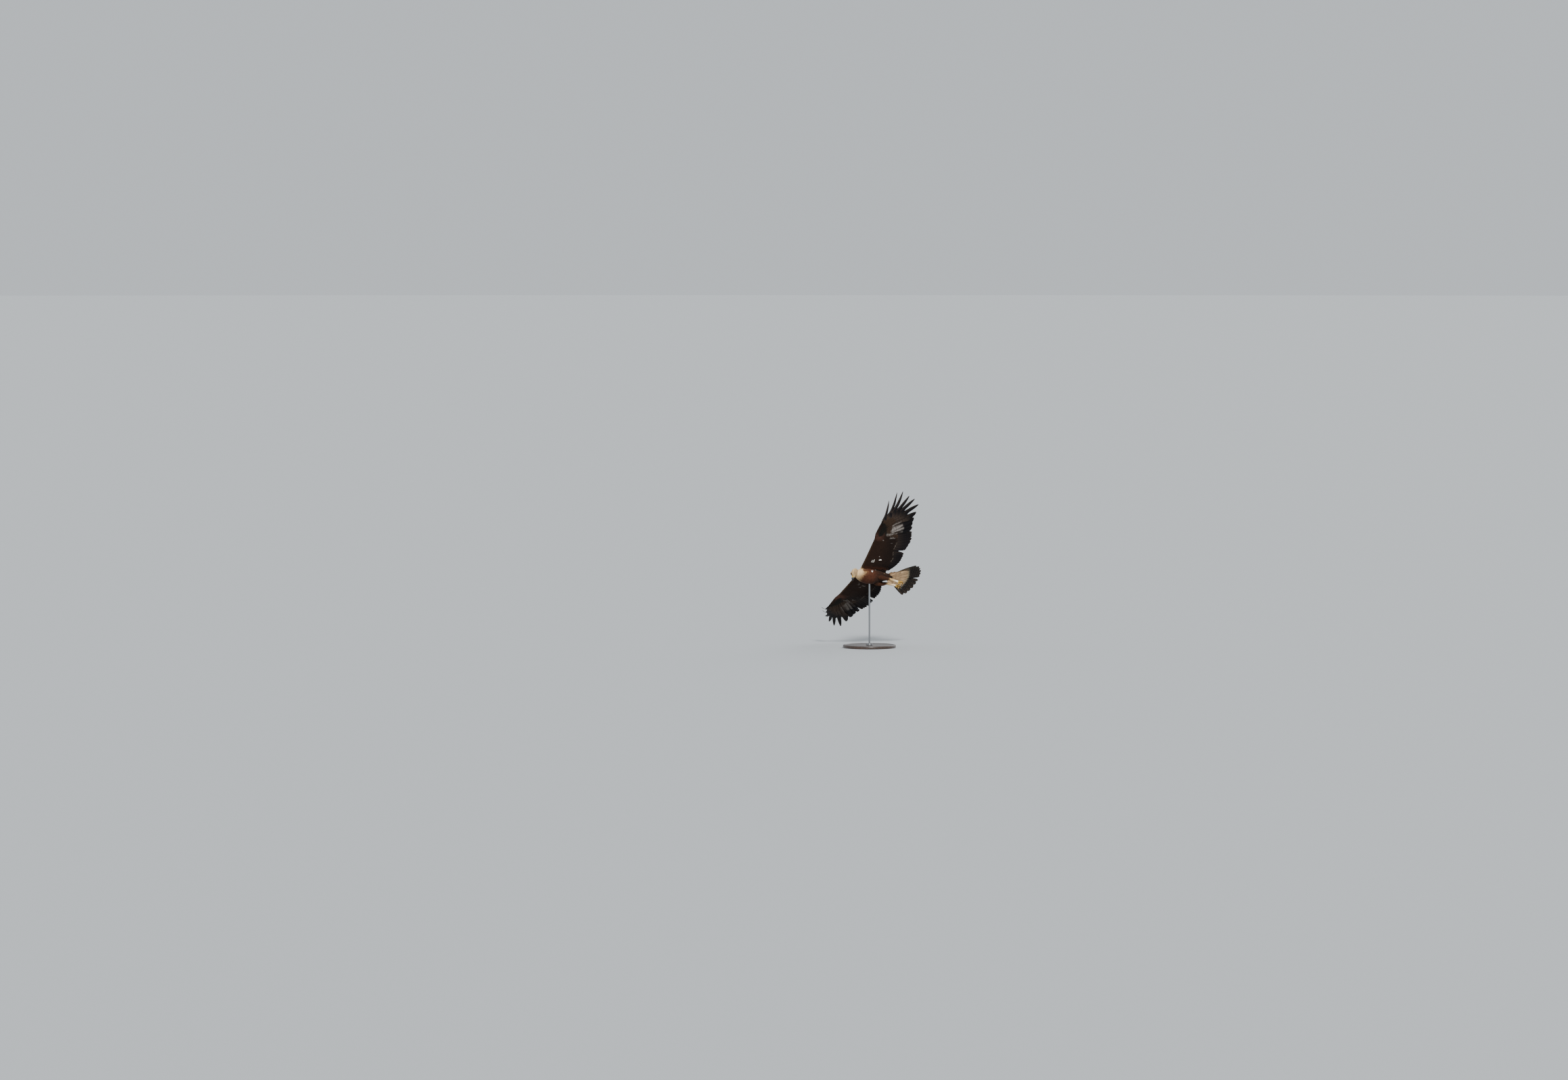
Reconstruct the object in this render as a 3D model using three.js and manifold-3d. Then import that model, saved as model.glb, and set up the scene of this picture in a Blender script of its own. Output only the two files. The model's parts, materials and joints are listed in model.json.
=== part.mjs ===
// A golden eagle soaring in a banked turn, life size, held by a plain display stand.
// Millimetres, +Z up. The bird is built in a frame of its own, X forward, Y to its
// left and Z towards its back, with the origin between the shoulders. That group is
// then banked and lifted over the stand.
import * as THREE from "three";
import { mergeVertices } from "three/addons/utils/BufferGeometryUtils.js";
import Module from "manifold-3d";

const wasm = await Module();
wasm.setup();

// Sizes of the whole
const GAP = 0.3;
const SHOULDER_HEIGHT = 800;
const HEADING = 207.8;
const CLIMB = 8.6;
const BANK = 45.7;

// Torso, as rings from the base of the neck back to the root of the tail
const NECK_CUT = 66;
const TAIL_CUT = -318;
const SHOULDER_CUT = 86;
const TORSO = [
  { x: 96, z: -35, wide: 30, up: 28, down: 32 },
  { x: 66, z: -36, wide: 58, up: 48, down: 54 },
  { x: 24, z: -40, wide: 78, up: 66, down: 74 },
  { x: -35, z: -44, wide: 90, up: 76, down: 84 },
  { x: -100, z: -44, wide: 86, up: 72, down: 80 },
  { x: -170, z: -38, wide: 72, up: 60, down: 64 },
  { x: -240, z: -28, wide: 56, up: 43, down: 46 },
  { x: -300, z: -18, wide: 44, up: 29, down: 31 },
  { x: -340, z: -12, wide: 37, up: 22, down: 22 },
];

// Neck, drawn in, and head, turned to the right and down
const NECK = [
  { at: [50, 0, -37], wide: 62, deep: 55 },
  { at: [66, 0, -38], wide: 58, deep: 51 },
  { at: [78, 3, -37], wide: 50, deep: 45 },
  { at: [82, 3, -36], wide: 45, deep: 40 },
];
const HEAD_AT = [116, 2, -35];
const HEAD_TURN = 72;
const HEAD_BOW = 45;
const HEAD = [
  { x: -52, z: -2, wide: 9, up: 9, down: 9 },
  { x: -46, z: -2, wide: 21, up: 20, down: 22 },
  { x: -32, z: -1, wide: 32, up: 31, down: 34 },
  { x: -10, z: 0, wide: 37, up: 36, down: 37 },
  { x: 12, z: 0, wide: 34, up: 33, down: 33 },
  { x: 28, z: -1, wide: 25, up: 26, down: 25 },
  { x: 37, z: -2, wide: 17, up: 18, down: 18 },
];
const EYE_AT = [15, 24, 6];
const EYE_RADIUS = 11.5;
const LID_RADIUS = 13.4;
const LID_OPENING = { at: [16, 36, 6], radii: [8.5, 9, 7.5] };
const BROW = { at: [16, 26, 17], radii: [17, 7, 5], turn: [0, 8, -12] };
const NOSTRIL = { at: [43, 10.5, 5], radii: [2.4, 3, 1.6], turn: [0, 30, 0] };
const MOUTH_Z = -9.4;
const MOUTH_CORNER = 13;
const MOUTH_SLIT = 0.8;
const CERE = [
  { x: 30, z: -1, wide: 13, up: 14, down: 8 },
  { x: 38, z: -1, wide: 12.5, up: 14, down: 8 },
  { x: 50, z: -1, wide: 11, up: 13.5, down: 8 },
];
const BILL = [
  { x: 50.3, z: -1, wide: 10.6, up: 12.8, down: 8 },
  { x: 60, z: -1.5, wide: 9, up: 11.8, down: 8.5 },
  { x: 70, z: -3, wide: 7, up: 9.5, down: 9.5 },
  { x: 78, z: -7, wide: 5, up: 8, down: 9 },
  { x: 83.5, z: -14, wide: 3.2, up: 7, down: 7 },
  { x: 85.5, z: -22, wide: 1.4, up: 4, down: 4 },
];
const LOWER_BILL = [
  { x: 30, z: -13.5, wide: 10, up: 3.8, down: 6 },
  { x: 48, z: -13.8, wide: 8.5, up: 3.8, down: 5 },
  { x: 60, z: -14.5, wide: 6.8, up: 3.4, down: 4 },
  { x: 70, z: -16, wide: 3.5, up: 2, down: 2.2 },
];

// Wing, on the left side. Its edges, station by station from the body outwards.
const EDGES = [
  { y: 0, front: 50, frontZ: -12, back: -285, backZ: -12 },
  { y: 86, front: 52, frontZ: 3, back: -287, backZ: -3 },
  { y: 170, front: 51, frontZ: 19, back: -309, backZ: -18 },
  { y: 260, front: 50, frontZ: 38, back: -331, backZ: -11 },
  { y: 330, front: 50, frontZ: 53, back: -325, backZ: -6 },
  { y: 400, front: 51, frontZ: 68, back: -322, backZ: 8 },
  { y: 485, front: 72, frontZ: 76, back: -344, backZ: 44 },
  { y: 530, front: 75, frontZ: 80, back: -350, backZ: 58 },
  { y: 608, front: 72, frontZ: 90, back: -313, backZ: 74 },
  { y: 677, front: 66, frontZ: 101, back: -292, backZ: 88 },
  { y: 785, front: 35, frontZ: 115, back: -265, backZ: 103 },
  { y: 1000, front: -110, frontZ: 143, back: -190, backZ: 126 },
];
const CAMBER = 0.035;
const CURL_FROM = 640;
const CURL = 0.0012;
const CURL_REACH = 120;

// The fleshed part of the wing under the small coverts
const FLESH = [
  { front: [50, 20], back: [-215, 20], thick: 54, rear: 15 },
  { front: [52, 86], back: [-205, 92], thick: 46, rear: 15 },
  { front: [51, 160], back: [-198, 172], thick: 41, rear: 14.5 },
  { front: [50, 240], back: [-190, 262], thick: 36, rear: 14 },
  { front: [50, 330], back: [-168, 362], thick: 31, rear: 14 },
  { front: [52, 405], back: [-140, 445], thick: 27, rear: 14 },
  { front: [72, 480], back: [-108, 522], thick: 23, rear: 14 },
  { front: [74, 540], back: [-60, 592], thick: 18, rear: 13.5 },
  { front: [71, 605], back: [-12, 650], thick: 12, rear: 10.5 },
  { front: [60, 668], back: [30, 690], thick: 5, rear: 5 },
];
const FLESH_STEPS = [0, 0.05, 0.2, 0.5, 1];
const FLESH_THICK = [0.36, 0.78, 1, 0.88, 0];

// Flight feathers. Splay is the turn outward from straight back, notch the share of
// the length where a finger begins, finger its outer and inner width as shares of the
// vane's, and rise how far its tip bends up past the curl. Sweep bows a quill outward,
// and tilt turns a vane about it.
const PRIMARY_ROOTS = { first: [28, 479], last: [62, 602] };
const PRIMARIES = [
  { length: 376, splay: 30.5, outer: 17, inner: 48 },
  { length: 382, splay: 37.3, outer: 17, inner: 50 },
  { length: 409, splay: 42.8, outer: 18, inner: 52 },
  { length: 453, splay: 49.4, outer: 18, inner: 52, notch: 0.8, finger: [0.75, 0.75] },
  { length: 507, splay: 56.9, outer: 17, inner: 50, notch: 0.64, finger: [0.65, 0.6], rise: -10 },
  { length: 505, splay: 62.6, outer: 16, inner: 48, notch: 0.6, finger: [0.6, 0.52], rise: 12 },
  { length: 464, splay: 66.6, outer: 15, inner: 46, notch: 0.57, finger: [0.55, 0.5], rise: 33 },
  { length: 427, splay: 70.6, outer: 14, inner: 44, notch: 0.54, finger: [0.55, 0.5], rise: 79, tilt: 10 },
  { length: 350, splay: 72.9, outer: 12, inner: 40, notch: 0.48, finger: [0.6, 0.52], rise: 110, tilt: 12 },
  { length: 234, splay: 80.2, outer: 10, inner: 30, notch: 0.4, finger: [0.65, 0.65], rise: 86, tilt: 14 },
];
const PRIMARY_SWEEP = { first: 6, step: 1 };
const SECONDARY_ROOTS = { first: [28, 455], last: [-72, 262] };
const SECONDARIES = [
  { length: 374, splay: 24.2 },
  { length: 375, splay: 23.4 },
  { length: 375, splay: 22.8 },
  { length: 373, splay: 21 },
  { length: 354, splay: 19.7 },
  { length: 331, splay: 17.9 },
  { length: 308, splay: 16.2 },
  { length: 230, splay: 14.5, inner: 24 },
  { length: 275, splay: 10.8 },
  { length: 268, splay: 9 },
  { length: 262, splay: 7 },
];
const TERTIAL_ROOTS = { first: [-78, 240], last: [-70, 104] };
const TERTIALS = [
  { length: 256, splay: 5.8 },
  { length: 250, splay: 5.4 },
  { length: 243, splay: 4.7 },
  { length: 236, splay: 4 },
  { length: 228, splay: 3 },
  { length: 220, splay: 1.5 },
];
const ALULA = [
  { root: [50, 500], length: 92, splay: 76, over: 8 },
  { root: [56, 506], length: 112, splay: 80, over: 6 },
  { root: [62, 512], length: 118, splay: 84, over: 4 },
];
const ALULA_VANE = { outer: 7, inner: 15 };
const PRIMARY_VANE = { tilt: 8.5 };
const SECONDARY_VANE = { outer: 14, inner: 37, sweep: 4 };
const COVERT_VANES = {
  primary: { outer: 8, inner: 16, reach: 0.42, over: 6.4, lower: 2.6 },
  secondary: { outer: 12, inner: 26, reach: 0.6, over: 4.8 },
  tertial: { outer: 12, inner: 26, reach: 0.66, over: 4.8 },
};
const COVERT_START = 0.1;
const TILT = 5.5;
const VANE_THICK = 1.5;
const VANE_TIP_THICK = 0.6;
const COVERT_THICK = 1;
const VARIATION = 0.012;
const SPLAY_VARIATION = 0.4;
const SEEDS = { left: 11, right: 29, tail: 5 };
const ELBOW_LINE = { at: [-75, 251, 0], along: [-190, 24, 0] };
const WRIST_LINE = { at: [30, 467, 0], along: [-340, 155, 0] };

// Tail
const TAIL_ROOT_Z = -12;
const TAIL_RISE = 0.13;
const TAIL_ARCH = 0.00102;
const TAIL_TWIST = 10;
const RECTRIX_LENGTHS = [368, 366, 356, 340, 316, 284];
const RECTRIX_SPLAY = { first: 3.5, step: 6.4 };
const RECTRIX_ROOTS = { y: 4, step: 5.2 };
const RECTRIX_VANE = { outer: 17, inner: 36 };
const MIDDLE_INNER = 22;
const OUTERMOST_OUTER = 12;
const RECTRIX_DROP = { first: 0.6, step: 1.1 };
const PAIR_APART = 1;
const TAIL_FLESH = [
  { x: -318, z: -15, wide: 40.5, up: 25.5, down: 26.5 },
  { x: -350, z: -11, wide: 40, up: 15, down: 18 },
  { x: -395, z: -4, wide: 42, up: 7, down: 12 },
  { x: -425, z: 0, wide: 38, up: 2.5, down: 7 },
];
const TAIL_COVERTS = {
  count: 4,
  spread: 30,
  rootsWide: 26,
  start: 24,
  outer: 20,
  inner: 20,
  above: { length: 130, level: 6, drop: 1.5, tilt: 5.5 },
  below: { length: 200, level: -11, drop: 1.2, tilt: 3 },
};

// Legs, folded back under the tail
const THIGH = [
  { at: [-150, 46, -84], wide: 30, deep: 28 },
  { at: [-185, 47, -94], wide: 29, deep: 28 },
  { at: [-235, 42, -93], wide: 22, deep: 23 },
  { at: [-272, 36, -84], wide: 15, deep: 17 },
  { at: [-290, 34, -84], wide: 13, deep: 14 },
];
const TARSUS = [
  { at: [-330, 32, -92], wide: 12.5, deep: 13.5 },
  { at: [-385, 30, -101], wide: 12.5, deep: 12.5 },
];
const ANKLE_CUT = -288;
const FOOT_CUT = -384;

// Feet, half closed. The toes are turned from straight back, and bend down by shares
// of their length. The hind toe points forward and down.
const FOOT = { at: [-390, 30, -102], radii: [15, 14, 13] };
const TOES = [
  { name: "middle", turn: 0, length: 58, thick: 7, claw: 34 },
  { name: "inner", turn: -30, length: 44, thick: 7, claw: 36 },
  { name: "outer", turn: 30, length: 46, thick: 6, claw: 28 },
];
const TOE_BEND = [
  [0, 0],
  [0.35, 0.02],
  [0.7, 0.18],
  [0.86, 0.48],
];
const HIND_TOE = {
  path: [
    [-386, 30, -102],
    [-384, 28, -118],
    [-388, 26, -132],
  ],
  thick: 7,
  claw: 44,
};
const CLAW_STEPS = 4;
const CLAW_BEND = 21;

// Stand
const BASE_AT = [70, 20];
const BASE_RADIUS = 280;
const BASE_THICK = 30;
const BASE_CHAMFER = 4;
const ROD_RADIUS = 9;
const FLANGE_RADIUS = 35;
const FLANGE_THICK = 8;

// Sides of the round forms
const BASE_SIDES = 48;
const FLANGE_SIDES = 32;
const ROD_SIDES = 20;
const BODY_SIDES = 20;
const HEAD_SIDES = 18;
const BILL_SIDES = 16;
const TAIL_SIDES = 16;
const LEG_SIDES = 14;
const EYE_SIDES = 12;
const LOWER_BILL_SIDES = 12;
const SMALL_SIDES = 10;
const TOE_SIDES = 8;
const CLAW_SIDES = 6;

const degrees = (a) => THREE.MathUtils.degToRad(a);
const vec = (p) => new THREE.Vector3(...p);

// A closed solid from a geometry, so that it can be joined and cut.
function solidOf(geometry) {
  const bare = new THREE.BufferGeometry();
  bare.setAttribute("position", geometry.getAttribute("position").clone());
  if (geometry.index) bare.setIndex(geometry.index.clone());
  const merged = mergeVertices(bare, 1e-4);
  const made = new wasm.Manifold(
    new wasm.Mesh({
      numProp: 3,
      vertProperties: new Float32Array(merged.attributes.position.array),
      triVerts: new Uint32Array(merged.index.array),
    }),
  );
  return made;
}

// The largest body of a solid, as a mesh of its own with its colour and finish.
function meshOf(name, solid, colour, roughness) {
  const bodies = solid.decompose().sort((a, b) => b.volume() - a.volume());
  const data = bodies[0].getMesh();
  const geometry = new THREE.BufferGeometry();
  geometry.setAttribute("position", new THREE.BufferAttribute(new Float32Array(data.vertProperties), 3));
  geometry.setIndex(new THREE.BufferAttribute(new Uint32Array(data.triVerts), 1));
  const flat = geometry.toNonIndexed();
  flat.computeVertexNormals();
  const mesh = new THREE.Mesh(flat, new THREE.MeshStandardMaterial({ color: colour, roughness }));
  mesh.name = name;
  return mesh;
}

const join = (solids) => solids.reduce((a, b) => a.add(b));

// A solid mirrored from the left side of the bird to the right.
const mirrored = (solid) => solid.mirror([0, 1, 0]);

// A closed form through rings of equal counts of points, capped flat at both ends.
function loft(rings) {
  const count = rings[0].length;
  const points = rings.flat().concat(
    [rings[0], rings.at(-1)].map((ring) =>
      ring.reduce((sum, p) => sum.add(p), new THREE.Vector3()).divideScalar(count),
    ),
  );
  const index = [];
  for (let k = 0; k + 1 < rings.length; k++) {
    for (let i = 0; i < count; i++) {
      const a = k * count + i;
      const b = k * count + ((i + 1) % count);
      index.push(a, b, a + count, b, b + count, a + count);
    }
  }
  const first = rings.length * count;
  const last = (rings.length - 1) * count;
  for (let i = 0; i < count; i++) {
    const j = (i + 1) % count;
    index.push(first, j, i);
    index.push(first + 1, last + i, last + j);
  }
  const geometry = new THREE.BufferGeometry().setFromPoints(points);
  geometry.setIndex(index);
  const solid = solidOf(geometry);
  return solid.volume() < 0 ? solidOf(turnedOut(geometry)) : solid;
}

function turnedOut(geometry) {
  const turned = geometry.clone();
  const a = turned.index.array;
  for (let i = 0; i < a.length; i += 3) [a[i + 1], a[i + 2]] = [a[i + 2], a[i + 1]];
  return turned;
}

// An upright ring, egg-shaped where its upper and lower halves differ.
function uprightRing(size, count, extra = 0) {
  const ring = [];
  for (let i = 0; i < count; i++) {
    const turn = (2 * Math.PI * i) / count;
    const height = Math.sin(turn) > 0 ? size.up : size.down;
    ring.push(
      new THREE.Vector3(
        size.x,
        (size.wide + extra) * Math.cos(turn),
        size.z + (height + extra) * Math.sin(turn),
      ),
    );
  }
  return ring;
}

const uprightForm = (sizes, count, extra = 0) => loft(sizes.map((s) => uprightRing(s, count, extra)));

// A limb along a path, its rings square to the path and carried on without a twist.
function limb(stations, count) {
  const path = stations.map((s) => vec(s.at));
  let side = null;
  const rings = stations.map((s, k) => {
    const before = path[Math.max(0, k - 1)];
    const after = path[Math.min(path.length - 1, k + 1)];
    const along = after.clone().sub(before).normalize();
    if (!side) side = new THREE.Vector3(0, 0, 1).cross(along);
    if (side.length() < 0.1) side.set(0, 1, 0);
    side.addScaledVector(along, -side.dot(along)).normalize();
    const up = along.clone().cross(side);
    const ring = [];
    for (let i = 0; i < count; i++) {
      const turn = (2 * Math.PI * i) / count;
      ring.push(
        path[k]
          .clone()
          .addScaledVector(side, s.wide * Math.cos(turn))
          .addScaledVector(up, s.deep * Math.sin(turn)),
      );
    }
    return ring;
  });
  return loft(rings);
}

// A thin form over a grid of middle points, each with its normal and half thickness.
// Both faces are split into triangles alike, so that they never cross where it bends.
function slab(grid) {
  const rows = grid.length;
  const columns = grid[0].length;
  const points = [];
  for (const side of [1, -1]) {
    for (const row of grid) {
      for (const g of row) points.push(g.p.clone().addScaledVector(g.n, side * g.h));
    }
  }
  const under = rows * columns;
  const index = [];
  const wall = (a, b) => index.push(a, b, a + under, b, b + under, a + under);
  for (let k = 0; k + 1 < rows; k++) {
    for (let j = 0; j + 1 < columns; j++) {
      const a = k * columns + j;
      const b = a + 1;
      const c = a + columns;
      const d = c + 1;
      index.push(a, b, c, b, d, c);
      index.push(a + under, c + under, b + under, b + under, c + under, d + under);
    }
    wall(k * columns, (k + 1) * columns);
    wall((k + 1) * columns + columns - 1, k * columns + columns - 1);
  }
  for (let j = 0; j + 1 < columns; j++) {
    wall(j + 1, j);
    wall((rows - 1) * columns + j, (rows - 1) * columns + j + 1);
  }
  const geometry = new THREE.BufferGeometry().setFromPoints(points);
  geometry.setIndex(index);
  const solid = solidOf(turnedOut(geometry));
  return solid.volume() < 0 ? solidOf(geometry) : solid;
}

function ball(at, radii, turn = [0, 0, 0], segments = 16) {
  const geometry = new THREE.SphereGeometry(1, segments, segments / 2);
  geometry.scale(...radii);
  geometry.applyMatrix4(new THREE.Matrix4().makeRotationFromEuler(new THREE.Euler(...turn.map(degrees))));
  geometry.translate(...at);
  return solidOf(geometry);
}

function box(at, size) {
  const geometry = new THREE.BoxGeometry(...size);
  geometry.translate(...at);
  return solidOf(geometry);
}

// The part of a solid on one side of an upright plane along a line seen from above,
// set back by half the gap.
function beside(solid, line, outward) {
  const along = vec(line.along).normalize();
  const normal = new THREE.Vector3(along.y, -along.x, 0);
  if (normal.y < 0) normal.negate();
  const offset = normal.dot(vec(line.at));
  return outward
    ? solid.trimByPlane([normal.x, normal.y, 0], offset + GAP / 2)
    : solid.trimByPlane([-normal.x, -normal.y, 0], -offset + GAP / 2);
}

const PARTS = [];
const add = (name, solid, colour, roughness = 0.9) => PARTS.push(meshOf(name, solid, colour, roughness));

// Wings

const between = (a, b, t) => a + (b - a) * t;

// Front and back edge of the wing and their heights, at a distance from the midline,
// as smooth curves through the stations.
const edgeCurve = new THREE.CubicInterpolant(
  EDGES.map((e) => e.y),
  EDGES.flatMap((e) => [e.front, e.frontZ, e.back, e.backZ]),
  4,
);
function edgeAt(y) {
  const [front, frontZ, back, backZ] = edgeCurve.evaluate(THREE.MathUtils.clamp(y, 0, EDGES.at(-1).y));
  return { front, frontZ, back, backZ };
}

// Height of the wing's middle surface over the plan: a shallow camber, and outside
// the wrist a curl that lifts the leading fingers most.
function wingHeight(x, y) {
  const edge = edgeAt(y);
  const chord = edge.front - edge.back;
  const c = THREE.MathUtils.clamp((edge.front - x) / chord, 0, 1);
  const flat = between(edge.frontZ, edge.backZ, c);
  const camber = CAMBER * chord * 4 * c * (1 - c) * (1 - THREE.MathUtils.smoothstep(y, 560, 780));
  const beyond = Math.max(0, y - CURL_FROM);
  return flat + camber + CURL * beyond * beyond * Math.exp((x - 10) / CURL_REACH);
}

const tailHeight = (x, y) => TAIL_ROOT_Z + TAIL_RISE * (TAIL_CUT - x) - TAIL_ARCH * y * y;

// Shares of the length, with the widths of the outer and inner vane there.
const plainSteps = [
  [0, 0.2, 0.08],
  [0.24, 1, 0.9],
  [0.52, 1, 1],
  [0.88, 0.95, 0.95],
  [1, 0.2, 0.4],
];
const fanSteps = [
  [0, 0.15, 0.07],
  [0.14, 0.3, 0.2],
  [0.38, 1, 0.9],
  [0.9, 0.95, 0.95],
  [1, 0.25, 0.4],
];
const covertSteps = [
  [0, 0.3, 0.2],
  [0.62, 1, 1],
  [1, 0.3, 0.35],
];
function fingerSteps(notch, outer, inner) {
  return [
    [0, 0.2, 0.08],
    [0.17, 0.5, 0.28],
    [notch * 0.5, 0.7, 0.42],
    [notch * 0.75, 0.9, 0.68],
    [notch, 1, 1],
    [between(notch, 1, 0.22), outer, inner],
    [between(notch, 1, 0.55), outer, inner],
    [between(notch, 1, 0.88), outer * 0.85, inner * 0.85],
    [1, outer * 0.2, inner * 0.25],
  ];
}

// One vane laid over a height. It is tilted so that its inner edge passes under the
// next feather's outer edge, and its quill thins from the root to the tip.
// With extra it is larger all round, to cut what would touch it.
function vane(v, height, extra = 0) {
  const splay = degrees(v.splay);
  const along = [-Math.cos(splay), Math.sin(splay)];
  const aside = [Math.sin(splay), Math.cos(splay)];
  const slope = Math.tan(degrees(v.tilt ?? TILT));
  const over = v.over ?? 0;
  const rows = v.steps.map(([share, outer, inner], k) => {
    const last = k === v.steps.length - 1;
    const t = share + (k === 0 ? -extra : last ? extra : 0) / v.length;
    const bow = 4 * (v.sweep ?? 0) * t * (1 - t);
    const lean = (4 * (v.sweep ?? 0) * (1 - 2 * t)) / v.length;
    const bent = Math.max(0, (t - (v.notch ?? 1)) / (1 - (v.notch ?? 0)));
    const rise = (v.rise ?? 0) * bent * bent;
    const lift = typeof over === "function" ? over(t) : over;
    const across = [v.outer * outer, -v.inner * inner];
    return across.map((w) => {
      const wide = w + Math.sign(w) * extra;
      const x = v.root[0] + along[0] * v.length * t + aside[0] * (bow + wide) - along[0] * wide * lean;
      const y = v.root[1] + along[1] * v.length * t + aside[1] * (bow + wide) - along[1] * wide * lean;
      return new THREE.Vector3(x, y, height(x, y) + w * slope + lift + rise);
    });
  });
  const grid = rows.map((row, k) => {
    const before = rows[Math.max(0, k - 1)];
    const after = rows[Math.min(rows.length - 1, k + 1)];
    const run = after[0].clone().add(after.at(-1)).sub(before[0]).sub(before.at(-1));
    const span = row[0].clone().sub(row.at(-1));
    const normal = span.cross(run).normalize();
    const half = between(v.thick ?? VANE_THICK, VANE_TIP_THICK, v.steps[k][0]) / 2;
    return row.map((p) => ({ p, n: normal, h: half + extra }));
  });
  return slab(grid);
}

// A series of numbers between -1 and 1, the same every time, so that no two feathers
// are alike.
function seeded(seed) {
  let state = seed;
  return () => {
    state = (state * 1664525 + 1013904223) % 4294967296;
    return (state / 4294967296) * 2 - 1;
  };
}

// A row of flight feathers from the first root to the last.
function featherRow(sizes, roots, shared, vary) {
  return sizes.map((size, k) => {
    const t = sizes.length > 1 ? k / (sizes.length - 1) : 0;
    const feather = {
      ...shared,
      ...size,
      share: t,
      root: [between(roots.first[0], roots.last[0], t), between(roots.first[1], roots.last[1], t)],
    };
    feather.length *= 1 + VARIATION * vary();
    feather.splay += SPLAY_VARIATION * vary();
    feather.steps = feather.notch ? fingerSteps(feather.notch, ...feather.finger) : plainSteps;
    return feather;
  });
}

// The greater covert over or under the base of a flight feather.
function covertOf(feather, size, side, vary) {
  const splay = degrees(feather.splay);
  const start = feather.length * COVERT_START;
  const over = size.over - (size.lower ?? 0) * feather.share;
  return {
    root: [feather.root[0] - Math.cos(splay) * start, feather.root[1] + Math.sin(splay) * start],
    splay: feather.splay,
    tilt: feather.tilt ?? TILT,
    length: feather.length * (size.reach - COVERT_START) * (1 + 2 * VARIATION * vary()),
    outer: size.outer,
    inner: size.inner,
    over: (t) => side * over * THREE.MathUtils.smoothstep(t, -0.3, 0.7),
    steps: covertSteps,
    thick: COVERT_THICK,
  };
}

function fleshOfWing() {
  const grid = FLESH.map((s) =>
    FLESH_STEPS.map((c, j) => {
      const x = between(s.front[0], s.back[0], c);
      const y = between(s.front[1], s.back[1], c);
      const dx = (wingHeight(x + 1, y) - wingHeight(x - 1, y)) / 2;
      const dy = (wingHeight(x, y + 1) - wingHeight(x, y - 1)) / 2;
      return {
        p: new THREE.Vector3(x, y, wingHeight(x, y)),
        n: new THREE.Vector3(-dx, -dy, 1).normalize(),
        h: Math.max(s.thick * FLESH_THICK[j], j === FLESH_STEPS.length - 1 ? s.rear : 0) / 2,
      };
    }),
  );
  return slab(grid);
}

// All vanes of one wing, group by group from the tip to the body.
function wingVanes(seed) {
  const vary = seeded(seed);
  const primaries = featherRow(PRIMARIES, PRIMARY_ROOTS, PRIMARY_VANE, vary);
  primaries.forEach((p, k) => (p.sweep = PRIMARY_SWEEP.first + PRIMARY_SWEEP.step * k));
  const secondaries = featherRow(SECONDARIES, SECONDARY_ROOTS, SECONDARY_VANE, vary);
  const tertials = featherRow(TERTIALS, TERTIAL_ROOTS, SECONDARY_VANE, vary);
  const withCoverts = (feathers, size) =>
    feathers.flatMap((f) => [f, covertOf(f, size, 1, vary), covertOf(f, size, -1, vary)]);
  const alula = ALULA.map((a) => ({ ...a, ...ALULA_VANE, steps: covertSteps, thick: COVERT_THICK }));
  return {
    hand: [...withCoverts(primaries, COVERT_VANES.primary), ...alula],
    forearm: withCoverts(secondaries, COVERT_VANES.secondary),
    upper_arm: withCoverts(tertials, COVERT_VANES.tertial),
  };
}

const flesh = fleshOfWing();
const shoulderStub = flesh.trimByPlane([0, -1, 0], -SHOULDER_CUT + GAP / 2).trimByPlane([0, 1, 0], 24);
const freeFlesh = flesh.trimByPlane([0, 1, 0], SHOULDER_CUT + GAP / 2);
const fleshParts = {
  upper_arm: beside(freeFlesh, ELBOW_LINE, false),
  forearm: beside(beside(freeFlesh, ELBOW_LINE, true), WRIST_LINE, false),
  hand: beside(freeFlesh, WRIST_LINE, true),
};

// Each part of a wing is its flesh with its vanes, cut clear of the vanes of the
// parts beside it.
function wingOf(seed) {
  const vanes = wingVanes(seed);
  const grown = (list) => join(list.map((v) => vane(v, wingHeight, GAP)));
  const near = {
    upper_arm: [vanes.forearm.slice(-9)],
    forearm: [vanes.hand.slice(0, 9), vanes.upper_arm.slice(0, 9)],
    hand: [vanes.forearm.slice(0, 9)],
  };
  const parts = {};
  for (const name of Object.keys(near)) {
    let solid = join([fleshParts[name], ...vanes[name].map((v) => vane(v, wingHeight))]);
    for (const list of near[name]) solid = solid.subtract(grown(list));
    parts[name] = solid;
  }
  return { parts, innermost: grown(vanes.upper_arm.slice(-9)) };
}
const wings = { left: wingOf(SEEDS.left), right: wingOf(SEEDS.right) };

// Torso, with the roots of both wings
const barrel = uprightForm(TORSO, BODY_SIDES);
const grownBarrel = uprightForm(TORSO, BODY_SIDES, GAP);
const wholeTorso = barrel
  .add(shoulderStub)
  .add(mirrored(shoulderStub))
  .subtract(wings.left.innermost)
  .subtract(mirrored(wings.right.innermost));
const torso = wholeTorso
  .trimByPlane([-1, 0, 0], -NECK_CUT + GAP / 2)
  .trimByPlane([1, 0, 0], TAIL_CUT + GAP / 2);
add("torso", torso, 0x4a3020);

for (const name of ["upper_arm", "forearm", "hand"]) {
  add("wing_left_" + name, wings.left.parts[name].subtract(grownBarrel), 0x33261c);
  add("wing_right_" + name, mirrored(wings.right.parts[name]).subtract(grownBarrel), 0x33261c);
}

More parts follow.
